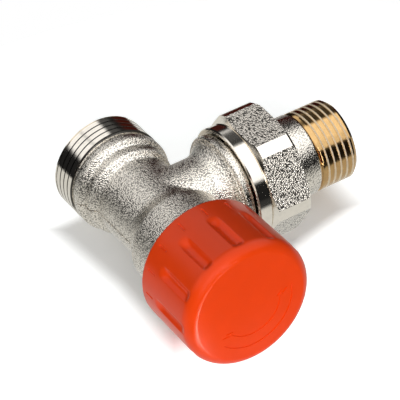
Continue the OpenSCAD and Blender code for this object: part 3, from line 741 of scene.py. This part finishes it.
def forging():
    """The forged skin of the body as one solid."""
    sizes = bpy.context.scene.valve_body
    made = turned("forging", tube_outline(sizes), TOWARDS_PIPE, FINE_ROUND)
    combine(made, turned("boss", boss_outline(sizes), TOWARDS_CAP, FINE_ROUND), "UNION")
    combine(made, turned("branch", branch_outline(sizes), TOWARDS_RADIATOR, FINE_ROUND), "UNION")
    remesh = made.modifiers.new("remesh", "REMESH")
    remesh.mode = "VOXEL"
    remesh.voxel_size = sizes.voxel
    apply_modifiers(made)
    bm = bmesh.new()
    bm.from_mesh(made.data)
    soften_corner(bm, sizes)
    raise_flash(bm, sizes)
    bm.to_mesh(made.data)
    bm.free()
    combine(made, turned("boss_skin", boss_skin(sizes), TOWARDS_CAP, FINE_ROUND), "UNION")
    return combine(made, turned("lip_ring", lip_ring(sizes), TOWARDS_RADIATOR, FINE_ROUND), "UNION")


def waterways():
    """Cutters for the bores of the body."""
    over = PIPE_END + 2
    pipe = [
        (0.0, SEAT_AT), (SEAT_R, SEAT_AT), (PIPE_BORE_R, DRILLED_FROM),
        (PIPE_BORE_R, PIPE_END - PIPE_MOUTH_LEN), (PIPE_MOUTH_R, PIPE_END), (PIPE_MOUTH_R, over), (0.0, over)
    ]
    seat = [(0.0, 0.0), (SEAT_R, 0.0), (SEAT_R, SEAT_AT + 0.4), (0.0, SEAT_AT + 0.4)]
    socket_from = BRANCH_END - SPIGOT_SOCKET_LEN
    socket_mouth_r = SPIGOT_SOCKET_R + 0.5
    branch = [
        (0.0, 0.0), (BRANCH_BORE_R, 0.0), (BRANCH_BORE_R, socket_from), (SPIGOT_SOCKET_R, socket_from),
        (SPIGOT_SOCKET_R, BRANCH_END - 0.5), (socket_mouth_r, BRANCH_END), (socket_mouth_r, BRANCH_END + 1),
        (0.0, BRANCH_END + 1)
    ]
    return (
        turned("pipe_bore", pipe, TOWARDS_PIPE), turned("seat_bore", seat, TOWARDS_PIPE),
        turned("chamber", CHAMBER, TOWARDS_CAP), turned("branch_bore", branch, TOWARDS_RADIATOR)
    )


def build_body():
    """Forging, three threads and the bores, as one piece."""
    threads = bpy.context.scene.valve_threads
    made = forging()
    pitch, depth, shallow = threads.pitch, threads.depth, threads.shallow
    pipe = (PIPE_THREAD_FROM, PIPE_END + threads.overrun)
    union = (UNION_THREAD_FROM, BRANCH_END)
    neck_depth = NECK_THREAD_DEPTH
    ends = (
        ("pipe_thread", threads.pipe_r, pitch, shallow, pipe, 1.0, TOWARDS_PIPE),
        ("union_thread", threads.union_r, pitch, depth, union, depth, TOWARDS_RADIATOR),
        ("neck_thread", threads.neck_r, threads.neck_pitch, neck_depth, NECK_THREAD, neck_depth, TOWARDS_CAP),
    )
    for name, crest_r, pitch, deep, (start, end), taper, towards in ends:
        outer_r = crest_r + 0.02
        barrel = [
            (0.0, start), (crest_r - deep, start), (outer_r, start + deep * 0.8), (outer_r, end - taper),
            (crest_r - 1.0, end), (0.0, end)
        ]
        end_piece = threaded(name, crest_r, pitch, deep, threads.crest, start, end, towards, barrel)
        combine(made, end_piece, "UNION")
    reliefs = (
        (threads.pipe_r - shallow - 0.1, 18.0, 21.0, TOWARDS_PIPE),
        (threads.union_r - depth - 0.1, 19.0, 21.5, TOWARDS_RADIATOR),
        (threads.neck_r - neck_depth - 0.02, 20.0, 22.0, TOWARDS_CAP),
    )
    for radius, start, end, towards in reliefs:
        outline = [(0.0, start), (radius, start), (radius, end), (0.0, end)]
        combine(made, turned("relief", outline, towards), "UNION")
    for cutter in waterways():
        combine(made, cutter, "DIFFERENCE")
    return made


BODY_FINISHES = ("blasted_nickel", "turned_nickel", "satin_nickel", "shaded_groove_nickel")
BLASTED, TURNED, SATIN, PAINTED_GROOVE_SHADE = range(len(BODY_FINISHES))


def body_face(place, face):
    """Which of BODY_FINISHES a face has, by where its middle lies."""
    x, y, z = place
    from_stem = math.hypot(x, z)
    from_branch = math.hypot(y, z)
    threads = bpy.context.scene.valve_threads
    below_crest = threads.pipe_r - from_stem
    # Faces at the start of the pipe thread and between its crests get the painted groove shade
    if 20.0 < y < 20.7 and from_stem > 12.4:
        return PAINTED_GROOVE_SHADE
    thread_end = PIPE_END + threads.overrun - 1.6
    if 20.4 < y < thread_end and 0.04 < below_crest < threads.shallow + 0.2:
        return PAINTED_GROOVE_SHADE
    past_lip = x > LIP[0] + 0.01
    if past_lip and from_branch > 13.3:
        return SATIN
    if past_lip or y > BULGE_BACK + 0.03 or y < 0.05 - BOSS_BACK:
        return TURNED
    in_pipe_leg = from_stem < 10.3 and not (x > 9 and from_branch > 10.3)
    in_chamber = y < -18.4 and from_stem < 11.1
    in_branch = x > 8.5 and from_branch < 10.1
    return TURNED if in_pipe_leg or in_chamber or in_branch else BLASTED


# Union nut

NUT_MOUTH_R = 13.8
NUT_BORE_R = 13.27
NUT_WEB_AT = 32.8
NUT_WEB_R = 11.1
NUT_FINISHES = ("shaded_coarse_nickel", "turned_nickel")
FLAT, MACHINED = range(len(NUT_FINISHES))


def build_nut():
    """Hexagon with turned corners, collar and bore."""
    sizes = bpy.context.scene.valve_nut
    hexagon_start = NUT_START + sizes.collar_len
    end = NUT_END + sizes.overrun
    flat = sizes.across_flats / 2
    collar_r, corner_r = sizes.collar_r, sizes.corner_r
    made = hexagon("union_nut_dressed", flat, hexagon_start, end, sizes.turn + math.pi / 6)
    barrel = [
        (0.0, hexagon_start), (collar_r - 0.2, hexagon_start), (corner_r, hexagon_start + 0.9),
        (corner_r, end - 1.0), (corner_r - 0.5, end - 0.3), (flat - 0.8, end), (0.0, end)
    ]
    combine(made, turned("barrel", barrel, TOWARDS_RADIATOR, FINE_ROUND), "INTERSECT")
    start = NUT_START + sizes.collar_start
    collar = [
        (0.0, start), (collar_r - 0.3, start), (collar_r, start + 0.3), (collar_r, hexagon_start - 0.15),
        (collar_r - 0.3, hexagon_start), (flat - 0.9, hexagon_start + 0.3), (0.0, hexagon_start + 0.3)
    ]
    combine(made, turned("collar", collar, TOWARDS_RADIATOR, FINE_ROUND), "UNION")
    bore = [
        (0.0, NUT_START - 1), (NUT_MOUTH_R, NUT_START - 1), (NUT_MOUTH_R, start + 0.2),
        (NUT_BORE_R, start + 0.7), (NUT_BORE_R, NUT_WEB_AT), (NUT_WEB_R, NUT_WEB_AT),
        (NUT_WEB_R, NUT_END + 2), (0.0, NUT_END + 2)
    ]
    return combine(made, turned("bore", bore, TOWARDS_RADIATOR, FINE_ROUND), "DIFFERENCE")


def nut_face(place, face):
    """Which of NUT_FINISHES a face has: only the six flats are blasted."""
    sizes = bpy.context.scene.valve_nut
    if abs(face.normal.x) > 0.05 or place.x < NUT_START + sizes.collar_len:
        return MACHINED
    from_axis = Vector((0.0, place.y, place.z)).dot(face.normal)
    return FLAT if abs(from_axis - sizes.across_flats / 2) < 0.05 else MACHINED


# Tailpiece

SPIGOT_R = 9.45
SPIGOT_GROOVE = (1.5, 3.3)
SPIGOT_GROOVE_R = 7.95
TAIL_COLLAR = (0.1, 3.0)
TAIL_COLLAR_R = 11.95
TAIL_NECK_R = 10.9
TAIL_BORE_R = 6.9
TAIL_THREAD_LEN = 10.6
KEY_APOTHEM = 5.8
KEY_SOCKET = (9, 4)
TAIL_FINISHES = ("turned_nickel", "turned_brass", "satin_nickel", "painted_highlight_brass")
PLATED, BARE, NECK, HIGHLIGHT_FLANK = range(len(TAIL_FINISHES))


def build_tail():
    """Spigot, collar, neck, threaded end and key socket."""
    threads = bpy.context.scene.valve_threads
    root = threads.tail_r - threads.shallow
    thread_start = TAIL_END - TAIL_THREAD_LEN
    tail_end = TAIL_END + threads.overrun - 0.2
    groove_start, groove_end = (TAIL_START + reach for reach in SPIGOT_GROOVE)
    collar_start, collar_end = (BRANCH_END + reach for reach in TAIL_COLLAR)
    outline = [
        (0.0, TAIL_START), (SPIGOT_R - 0.5, TAIL_START), (SPIGOT_R, TAIL_START + 0.5),
        (SPIGOT_R, groove_start), (SPIGOT_GROOVE_R, groove_start), (SPIGOT_GROOVE_R, groove_end),
        (SPIGOT_R, groove_end), (SPIGOT_R, collar_start), (TAIL_COLLAR_R, collar_start),
        (TAIL_COLLAR_R, collar_end), (TAIL_NECK_R, collar_end), (TAIL_NECK_R, thread_start - 0.4),
        (TAIL_NECK_R - 0.15, thread_start - 0.1), (root + 0.1, thread_start + 0.5),
        (root + 0.1, thread_start + 1), (0.0, thread_start + 1)
    ]
    made = turned("tailpiece_dressed", outline, TOWARDS_RADIATOR)
    barrel = [
        (0.0, thread_start), (root, thread_start), (threads.tail_r, thread_start + 0.9),
        (threads.tail_r, tail_end - 0.9), (threads.tail_r - 0.7, tail_end), (0.0, tail_end)
    ]
    end = threaded(
        "tail_thread", threads.tail_r, threads.pitch, threads.shallow, threads.brass_crest, thread_start,
        tail_end, TOWARDS_RADIATOR, barrel
    )
    combine(made, end, "UNION")
    key_start, key_end = (TAIL_END - reach for reach in KEY_SOCKET)
    bore = [
        (0.0, TAIL_START - 1), (TAIL_BORE_R, TAIL_START - 1), (TAIL_BORE_R, key_start),
        (KEY_APOTHEM, key_start), (KEY_APOTHEM, key_end), (TAIL_BORE_R, key_end),
        (TAIL_BORE_R, TAIL_END + 2), (0.0, TAIL_END + 2)
    ]
    combine(made, turned("bore", bore, TOWARDS_RADIATOR), "DIFFERENCE")
    key = hexagon("key", KEY_APOTHEM, key_start - 1.5, key_end + 1.5, 0)
    return combine(made, key, "DIFFERENCE")


def tail_face(place, face):
    """Which of TAIL_FINISHES a face has, by its place and by the way it faces."""
    radius = math.hypot(place.y, place.z)
    thread_start = TAIL_END - TAIL_THREAD_LEN
    if radius < TAIL_BORE_R + 0.1:
        return PLATED
    # Flanks that face -X get the painted highlight
    if place.x > thread_start + 1 and face.normal.x < -0.3:
        return HIGHLIGHT_FLANK
    if place.x > thread_start - 0.15:
        return BARE
    return NECK if radius > 10.5 and place.x > BRANCH_END + TAIL_COLLAR[1] + 0.1 else PLATED


# Protective cap

ARROW_HEIGHT = 0.18
CAP_MOUTH_R = 15.35
CAP_THREAD_R = 15.05
CAP_THREAD_END = 7.3
CAP_BORE_R = 14.2
CAP_WALL = 2.5
CAP_STEPS = 56
CAP_AROUND = 720
NOTCH_REACH = (2.2, 5.1)
NOTCH_HALF_WIDTH = 0.24
FLUTE_START = 6.0
FLUTE_END = 0.9


def cap_outline(sizes):
    """The cup's section, from the front's middle round the rim to the inside's middle."""
    front, rim = CAP_FRONT - ARROW_HEIGHT + sizes.dome, CAP_RIM
    tilt = sizes.edge_tilt
    flat_r = sizes.front_r - sizes.edge_r * (1 - math.sin(tilt))
    side_from = front - sizes.edge_r * math.cos(tilt)
    outline = [(0.0, front), (6.0, front), (flat_r - 0.2, front)]
    outline += arc((sizes.front_r - sizes.edge_r, side_from), sizes.edge_r, 90 - math.degrees(tilt), 0, 20)
    for i in range(1, CAP_STEPS + 1):
        share = i / CAP_STEPS
        along = side_from + (rim + 0.3 - side_from) * share
        outline.append((sizes.front_r + (sizes.rim_r - sizes.front_r) * share, along))
    outline += [(sizes.rim_r - 0.1, rim + 0.1), (sizes.rim_r - 0.3, rim)]
    outline += [(CAP_MOUTH_R, rim), (CAP_MOUTH_R, rim + 0.6), (CAP_THREAD_R, rim + 0.9)]
    outline += [(CAP_THREAD_R, rim + CAP_THREAD_END), (CAP_BORE_R, rim + CAP_THREAD_END + 0.85)]
    return outline + [(CAP_BORE_R, front - CAP_WALL), (0.0, front - CAP_WALL)]


def cap_relief(vert, sizes):
    """Depth of the flutes and notches at a point of the cap's skin."""
    x, y, along = vert.co
    radius = math.hypot(x, y)
    if radius < 15.8 or along < CAP_RIM + 0.5:
        return 0.0
    angle = math.degrees(math.atan2(y, x))

    def offset(count):
        pitch = 360 / count
        return abs((angle - 90 + pitch / 2) % pitch - pitch / 2) * math.pi / 180 * radius

    across = min(offset(sizes.flutes) / (sizes.flute_w / 2), 1.0)
    start, end = CAP_RIM + FLUTE_START, CAP_FRONT - FLUTE_END
    held = smooth((along - start) / 4.0) * smooth((end - along) / 2.2)
    flute = sizes.flute_depth * (1 - across * across) * held
    first, last = NOTCH_REACH
    in_notch = first < along - CAP_RIM < last and offset(sizes.notches) < NOTCH_HALF_WIDTH
    return max(flute, sizes.notch_depth if in_notch else 0.0)


def turning_mark(bm, front):
    """Two fine raised arcs and short strokes that show which way the cap turns."""
    foot_half, top_half, sunk, height = 0.11, 0.05, 0.06, 0.17
    outer_arc_r, inner_arc_r = 11.8, 8.4

    def line(start, end, inner, outer, steps):
        corners = [
            (inner - foot_half, front - sunk), (inner + foot_half, front - sunk),
            (inner + top_half, front + height), (inner - top_half, front + height)
        ]
        ring = [bm.verts.new((r * math.cos(start), r * math.sin(start), z)) for r, z in corners]
        side = bm.faces.new(ring)
        made = bmesh.ops.spin(
            bm, geom=[side] + list(side.edges) + ring, cent=(0, 0, 0), axis=(0, 0, 1), angle=end - start,
            steps=steps
        )
        drift = (outer - inner) / inner
        last = {item for item in made["geom_last"] if isinstance(item, bmesh.types.BMVert)}
        for vert in last:
            vert.co.x *= 1 + drift
            vert.co.y *= 1 + drift

    start, end = math.radians(-6), math.radians(-134)
    line(start + math.radians(12), end, outer_arc_r, outer_arc_r, 60)
    line(start, end, inner_arc_r, inner_arc_r, 60)
    for at, way in ((start, 1), (end, -1)):
        for foot in (7.6, 8.9):
            line(at + way * math.radians(3), at + way * math.radians(11), foot, foot + 1.5, 1)


def build_cap():
    """Fluted cup with the turning mark."""
    sizes = bpy.context.scene.valve_cap
    bm = spun(cap_outline(sizes), CAP_AROUND)
    for vert in bm.verts:
        sink = cap_relief(vert, sizes)
        if sink:
            radius = math.hypot(vert.co.x, vert.co.y)
            vert.co.x *= (radius - sink) / radius
            vert.co.y *= (radius - sink) / radius
    mark = bmesh.new()
    turning_mark(mark, CAP_FRONT - ARROW_HEIGHT + sizes.dome)
    bmesh.ops.recalc_face_normals(mark, faces=mark.faces)
    spare = bpy.data.meshes.new("mark")
    mark.to_mesh(spare)
    mark.free()
    bm.from_mesh(spare)
    bpy.data.meshes.remove(spare)
    return as_object(bm, "protective_cap_dressed", TOWARDS_CAP)


# Stage: floor, lamp, sky and camera


def floor_material():
    """Pale floor that keeps the valve's shadows close under it, with painted light filling them farther out,
    and a glowing stripe and card that only reflections see.

    The regions are in metres from the crossing. Around the valve the camera sees the floor as white.
    """
    material = bpy.data.materials.new("pale_floor")
    tree = Tree(material)
    seen = tree.node("ShaderNodeLightPath", {}, {}, "Is Camera Ray")
    mirrored = tree.node("ShaderNodeLightPath", {}, {}, "Is Glossy Ray")
    pale = tree.node("ShaderNodeBsdfDiffuse", {}, {"Color": (0.90, 0.90, 0.89, 1.0)})
    place = tree.place()
    east = tree.axis(place, "X") - CROSSING.x
    north = tree.axis(place, "Y") - CROSSING.y
    # Painted light: in these zones the camera-only emission fills the valve's shadows, and ahead of the cap
    # it is stronger still
    west_side = 1 - (east + north.most(0.0) * 0.12).ramp(-0.0175, -0.010)
    south_side = (1 - (north - east * 0.2).ramp(-0.0223, -0.0168)) * east.ramp(0.020, 0.026)
    ends = north.ramp(0.0245, 0.0300).most(east.ramp(0.047, 0.059))
    corner = east.ramp(0.002, 0.010) * north.ramp(0.002, 0.010)
    ahead = 1 - north.ramp(-0.034, -0.021)
    painted_fill_zones = west_side.most(south_side).most(ends).most(corner).most(ahead)
    strength = seen * (0.03 + painted_fill_zones * 0.66 + ahead * 0.20)
    painted_fill_light = tree.node("ShaderNodeEmission", {}, {"Color": (0.98, 1.0, 1.0, 1.0), "Strength": strength})
    direct = tree.node("ShaderNodeAddShader", {}, {0: pale, 1: painted_fill_light})
    # Painted reflections: to reflected rays the floor glows as a pale card near the valve and, farther south,
    # a very bright stripe that puts a highlight on the cap's front edge
    card = north.ramp(-0.064, -0.048)
    stripe = east.ramp(-0.026, -0.020) * (1 - east.ramp(-0.010, -0.004))
    level = 0.04 + card * 0.70 + (1 - card) * stripe * 13.0
    reflected = tree.node("ShaderNodeEmission", {}, {"Color": (1.0, 1.0, 0.96, 1.0), "Strength": level})
    both = tree.node("ShaderNodeMixShader", {}, {0: mirrored, 1: direct, 2: reflected})
    tree.node("ShaderNodeOutputMaterial", {}, {"Surface": both})
    return material


def studio_sky(world):
    """White for the camera, a plain level for matt light, and bright and dark fields for reflections."""
    tree = Tree(world)
    seen = tree.node("ShaderNodeLightPath", {}, {}, "Is Camera Ray")
    mirrored = tree.node("ShaderNodeLightPath", {}, {}, "Is Glossy Ray")
    way = tree.node("ShaderNodeTexCoord", output=TEXTURE_GENERATED)
    height = tree.axis(way, "Z")
    east = tree.axis(way, "X")
    north = tree.axis(way, "Y")
    bearing = tree.node("ShaderNodeMath", {"operation": "ARCTAN2"}, {0: east, 1: north})
    from_south = tree.node("ShaderNodeMath", {"operation": "ARCTAN2"}, {0: 0 - east, 1: 0 - north})
    southern = 1 - north.ramp(0.20, 0.36)
    northern = (1 - southern) * (1 - height.ramp(0.76, 0.88))
    south_level = southern * (1.10 + height.ramp(0.6, 0.75) * 0.40)
    overhead = height.ramp(0.34, 0.46) * (0.30 + south_level + northern * 0.84)
    gap = bearing.ramp(0.40, 0.50) * (1 - bearing.ramp(1.0, 1.15)) * (1 - height.ramp(0.86, 0.94))
    seam = bearing.ramp(-0.30, -0.24) * (1 - bearing.ramp(-0.20, -0.14))
    leaning = from_south - height.ramp(0.14, 0.60) * 0.28
    strip = leaning.ramp(-0.14, -0.12) * (1 - leaning.ramp(-0.05, -0.03)) * (1 - height.ramp(0.56, 0.64))
    # Painted reflection: a faint red field low in the north-east that only reflections see
    painted_red_reflection = bearing.ramp(0.28, 0.42) * (1 - bearing.ramp(0.95, 1.1)) * (1 - height.ramp(0.20, 0.34))
    bright = overhead * (1 - gap * 0.94) * (1 - seam * 0.35)
    reflected = 0.015 + bright + strip * 9.0 + painted_red_reflection * 0.035
    level = 0.28 * (1 - mirrored) + reflected * mirrored
    strength = level * (1 - seen) + seen
    shade = tree.mix(painted_red_reflection * mirrored, (1.0, 1.0, 1.0, 1.0), (1.0, 0.16, 0.10, 1.0))
    sky = tree.node("ShaderNodeBackground", {}, {"Color": shade, "Strength": strength})
    tree.node("ShaderNodeOutputWorld", {}, {"Surface": sky})


def build_floor(view):
    """A round floor in the plane that the cap, the pipe thread and the nut rest on."""
    bm = bmesh.new()
    bmesh.ops.create_circle(bm, cap_ends=True, segments=128, radius=view.floor_r)
    bmesh.ops.rotate(bm, verts=bm.verts, matrix=Matrix.Rotation(math.atan(view.floor_rise), 3, "X"))
    south = view.floor_shift
    drop = view.floor_drop * MM + south * view.floor_rise
    bmesh.ops.translate(bm, verts=bm.verts, vec=CROSSING - Vector((0, south, drop)))
    made = as_object(bm, "floor")
    made.data.materials.append(floor_material())


def add_sun(name, strength, azimuth, elevation, spread):
    """A soft lamp that shines from a compass direction, in degrees."""
    lamp = bpy.data.lights.new(name, "SUN")
    lamp.energy = strength
    lamp.angle = math.radians(spread)
    made = bpy.data.objects.new(name, lamp)
    bpy.context.scene.collection.objects.link(made)
    turn = math.radians(azimuth)
    rise = math.radians(elevation)
    source = Vector((math.sin(turn) * math.cos(rise), math.cos(turn) * math.cos(rise), math.sin(rise)))
    made.rotation_euler = source.to_track_quat("Z", "Y").to_euler()
    made.visible_glossy = False


def build_camera(view):
    """The camera at the photograph's place."""
    lens = bpy.data.cameras.new("camera")
    lens.sensor_fit = "HORIZONTAL"
    lens.sensor_width = 36
    lens.lens = view.lens
    lens.clip_start = 0.01
    lens.clip_end = 20
    turn, fall = view.azimuth, view.elevation
    forward = Vector((-math.sin(turn) * math.cos(fall), math.cos(turn) * math.cos(fall), -math.sin(fall)))
    right = forward.cross(Vector((0, 0, 1))).normalized()
    up = right.cross(forward)
    turned_right = right * math.cos(view.roll) + up * math.sin(view.roll)
    turned_up = turned_right.cross(forward)
    place = CROSSING + Vector(view.aim) * MM - forward * view.distance
    matrix = Matrix((turned_right, turned_up, -forward)).transposed().to_4x4()
    matrix.translation = place
    made = bpy.data.objects.new("camera", lens)
    made.matrix_world = matrix
    bpy.context.scene.collection.objects.link(made)
    bpy.context.scene.camera = made


# Operators


class VALVE_OT_stage(bpy.types.Operator):
    """Adds the floor, the lamp, the sky and the camera."""

    bl_idname = "valve.stage"
    bl_label = "Stage"

    def execute(self, context):
        view = context.scene.valve_view
        context.scene.view_settings.view_transform = "Standard"
        world = bpy.data.worlds.new("studio")
        context.scene.world = world
        studio_sky(world)
        build_floor(view)
        add_sun("front_lamp", strength=2.35, azimuth=206, elevation=21, spread=40)
        build_camera(view)
        return {"FINISHED"}


class VALVE_OT_body(bpy.types.Operator):
    """Forges, threads and bores the valve body."""

    bl_idname = "valve.body"
    bl_label = "Valve body"

    def execute(self, context):
        made = build_body()
        made.name = "valve_body_dressed"
        place_piece(made, "valve_body", "body", BODY_FINISHES, body_face)
        return {"FINISHED"}


class VALVE_OT_nut(bpy.types.Operator):
    """Makes the union nut."""

    bl_idname = "valve.nut"
    bl_label = "Union nut"

    def execute(self, context):
        place_piece(build_nut(), "union_nut", "nut", NUT_FINISHES, nut_face, crease=20)
        return {"FINISHED"}


class VALVE_OT_tail(bpy.types.Operator):
    """Makes the tailpiece."""

    bl_idname = "valve.tail"
    bl_label = "Tailpiece"

    def execute(self, context):
        place_piece(build_tail(), "tailpiece", "tail", TAIL_FINISHES, tail_face)
        return {"FINISHED"}


class VALVE_OT_cap(bpy.types.Operator):
    """Moulds the protective cap."""

    bl_idname = "valve.cap"
    bl_label = "Protective cap"

    def execute(self, context):
        place_piece(build_cap(), "protective_cap", "cap", ("moulded_orange",), crease=30)
        return {"FINISHED"}


INNER_FINISHES = {
    "turned_brass": (
        "insert_body", "gland_housing", "gland_washer", "gland_nut", "disc_holder", "disc_washer",
        "disc_nut"
    ),
    "stem_steel": ("spindle", "push_pin", "spring_plate", "retaining_ring", "return_spring"),
    "seal_rubber": ("insert_o_ring", "gland_o_ring_lower", "gland_o_ring_upper", "disc_seal", "tail_o_ring"),
    "bush_plastic": ("gland_bush",),
}


class VALVE_OT_insert(bpy.types.Operator):
    """Finishes the insert, the stem and the seals inside the valve."""

    bl_idname = "valve.insert"
    bl_label = "Insert, stem and seals"

    def execute(self, context):
        for name, nodes in INNER_FINISHES.items():
            for node in nodes:
                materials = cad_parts[node].data.materials
                materials.clear()
                materials.append(finished(name))
        return {"FINISHED"}


class VALVE_PT_sidebar(bpy.types.Panel):
    """Lists the steps that dress the valve."""

    bl_idname = "VALVE_PT_sidebar"
    bl_label = "Radiator Valve"
    bl_space_type = "VIEW_3D"
    bl_region_type = "UI"
    bl_category = "Valve"

    def draw(self, context):
        for step in STEPS:
            self.layout.operator(step.bl_idname)
        for group in GROUPS:
            settings = getattr(context.scene, group)
            for name in settings.__annotations__:
                self.layout.prop(settings, name)


GROUPS = {
    "valve_view": View,
    "valve_colours": Colours,
    "valve_body": BodySizes,
    "valve_threads": ThreadSizes,
    "valve_nut": NutSizes,
    "valve_cap": CapSizes,
}
STEPS = (VALVE_OT_stage, VALVE_OT_body, VALVE_OT_nut, VALVE_OT_tail, VALVE_OT_cap, VALVE_OT_insert)


def register():
    for group, kind in GROUPS.items():
        bpy.utils.register_class(kind)
        setattr(bpy.types.Scene, group, PointerProperty(type=kind))
    for kind in (*STEPS, VALVE_PT_sidebar):
        bpy.utils.register_class(kind)


def unregister():
    for kind in (*STEPS, VALVE_PT_sidebar):
        bpy.utils.unregister_class(kind)
    for group, kind in GROUPS.items():
        delattr(bpy.types.Scene, group)
        bpy.utils.unregister_class(kind)


def main():
    register()
    bpy.ops.valve.stage()
    bpy.ops.valve.body()
    bpy.ops.valve.nut()
    bpy.ops.valve.tail()
    bpy.ops.valve.cap()
    bpy.ops.valve.insert()


if __name__ == "__main__":
    main()
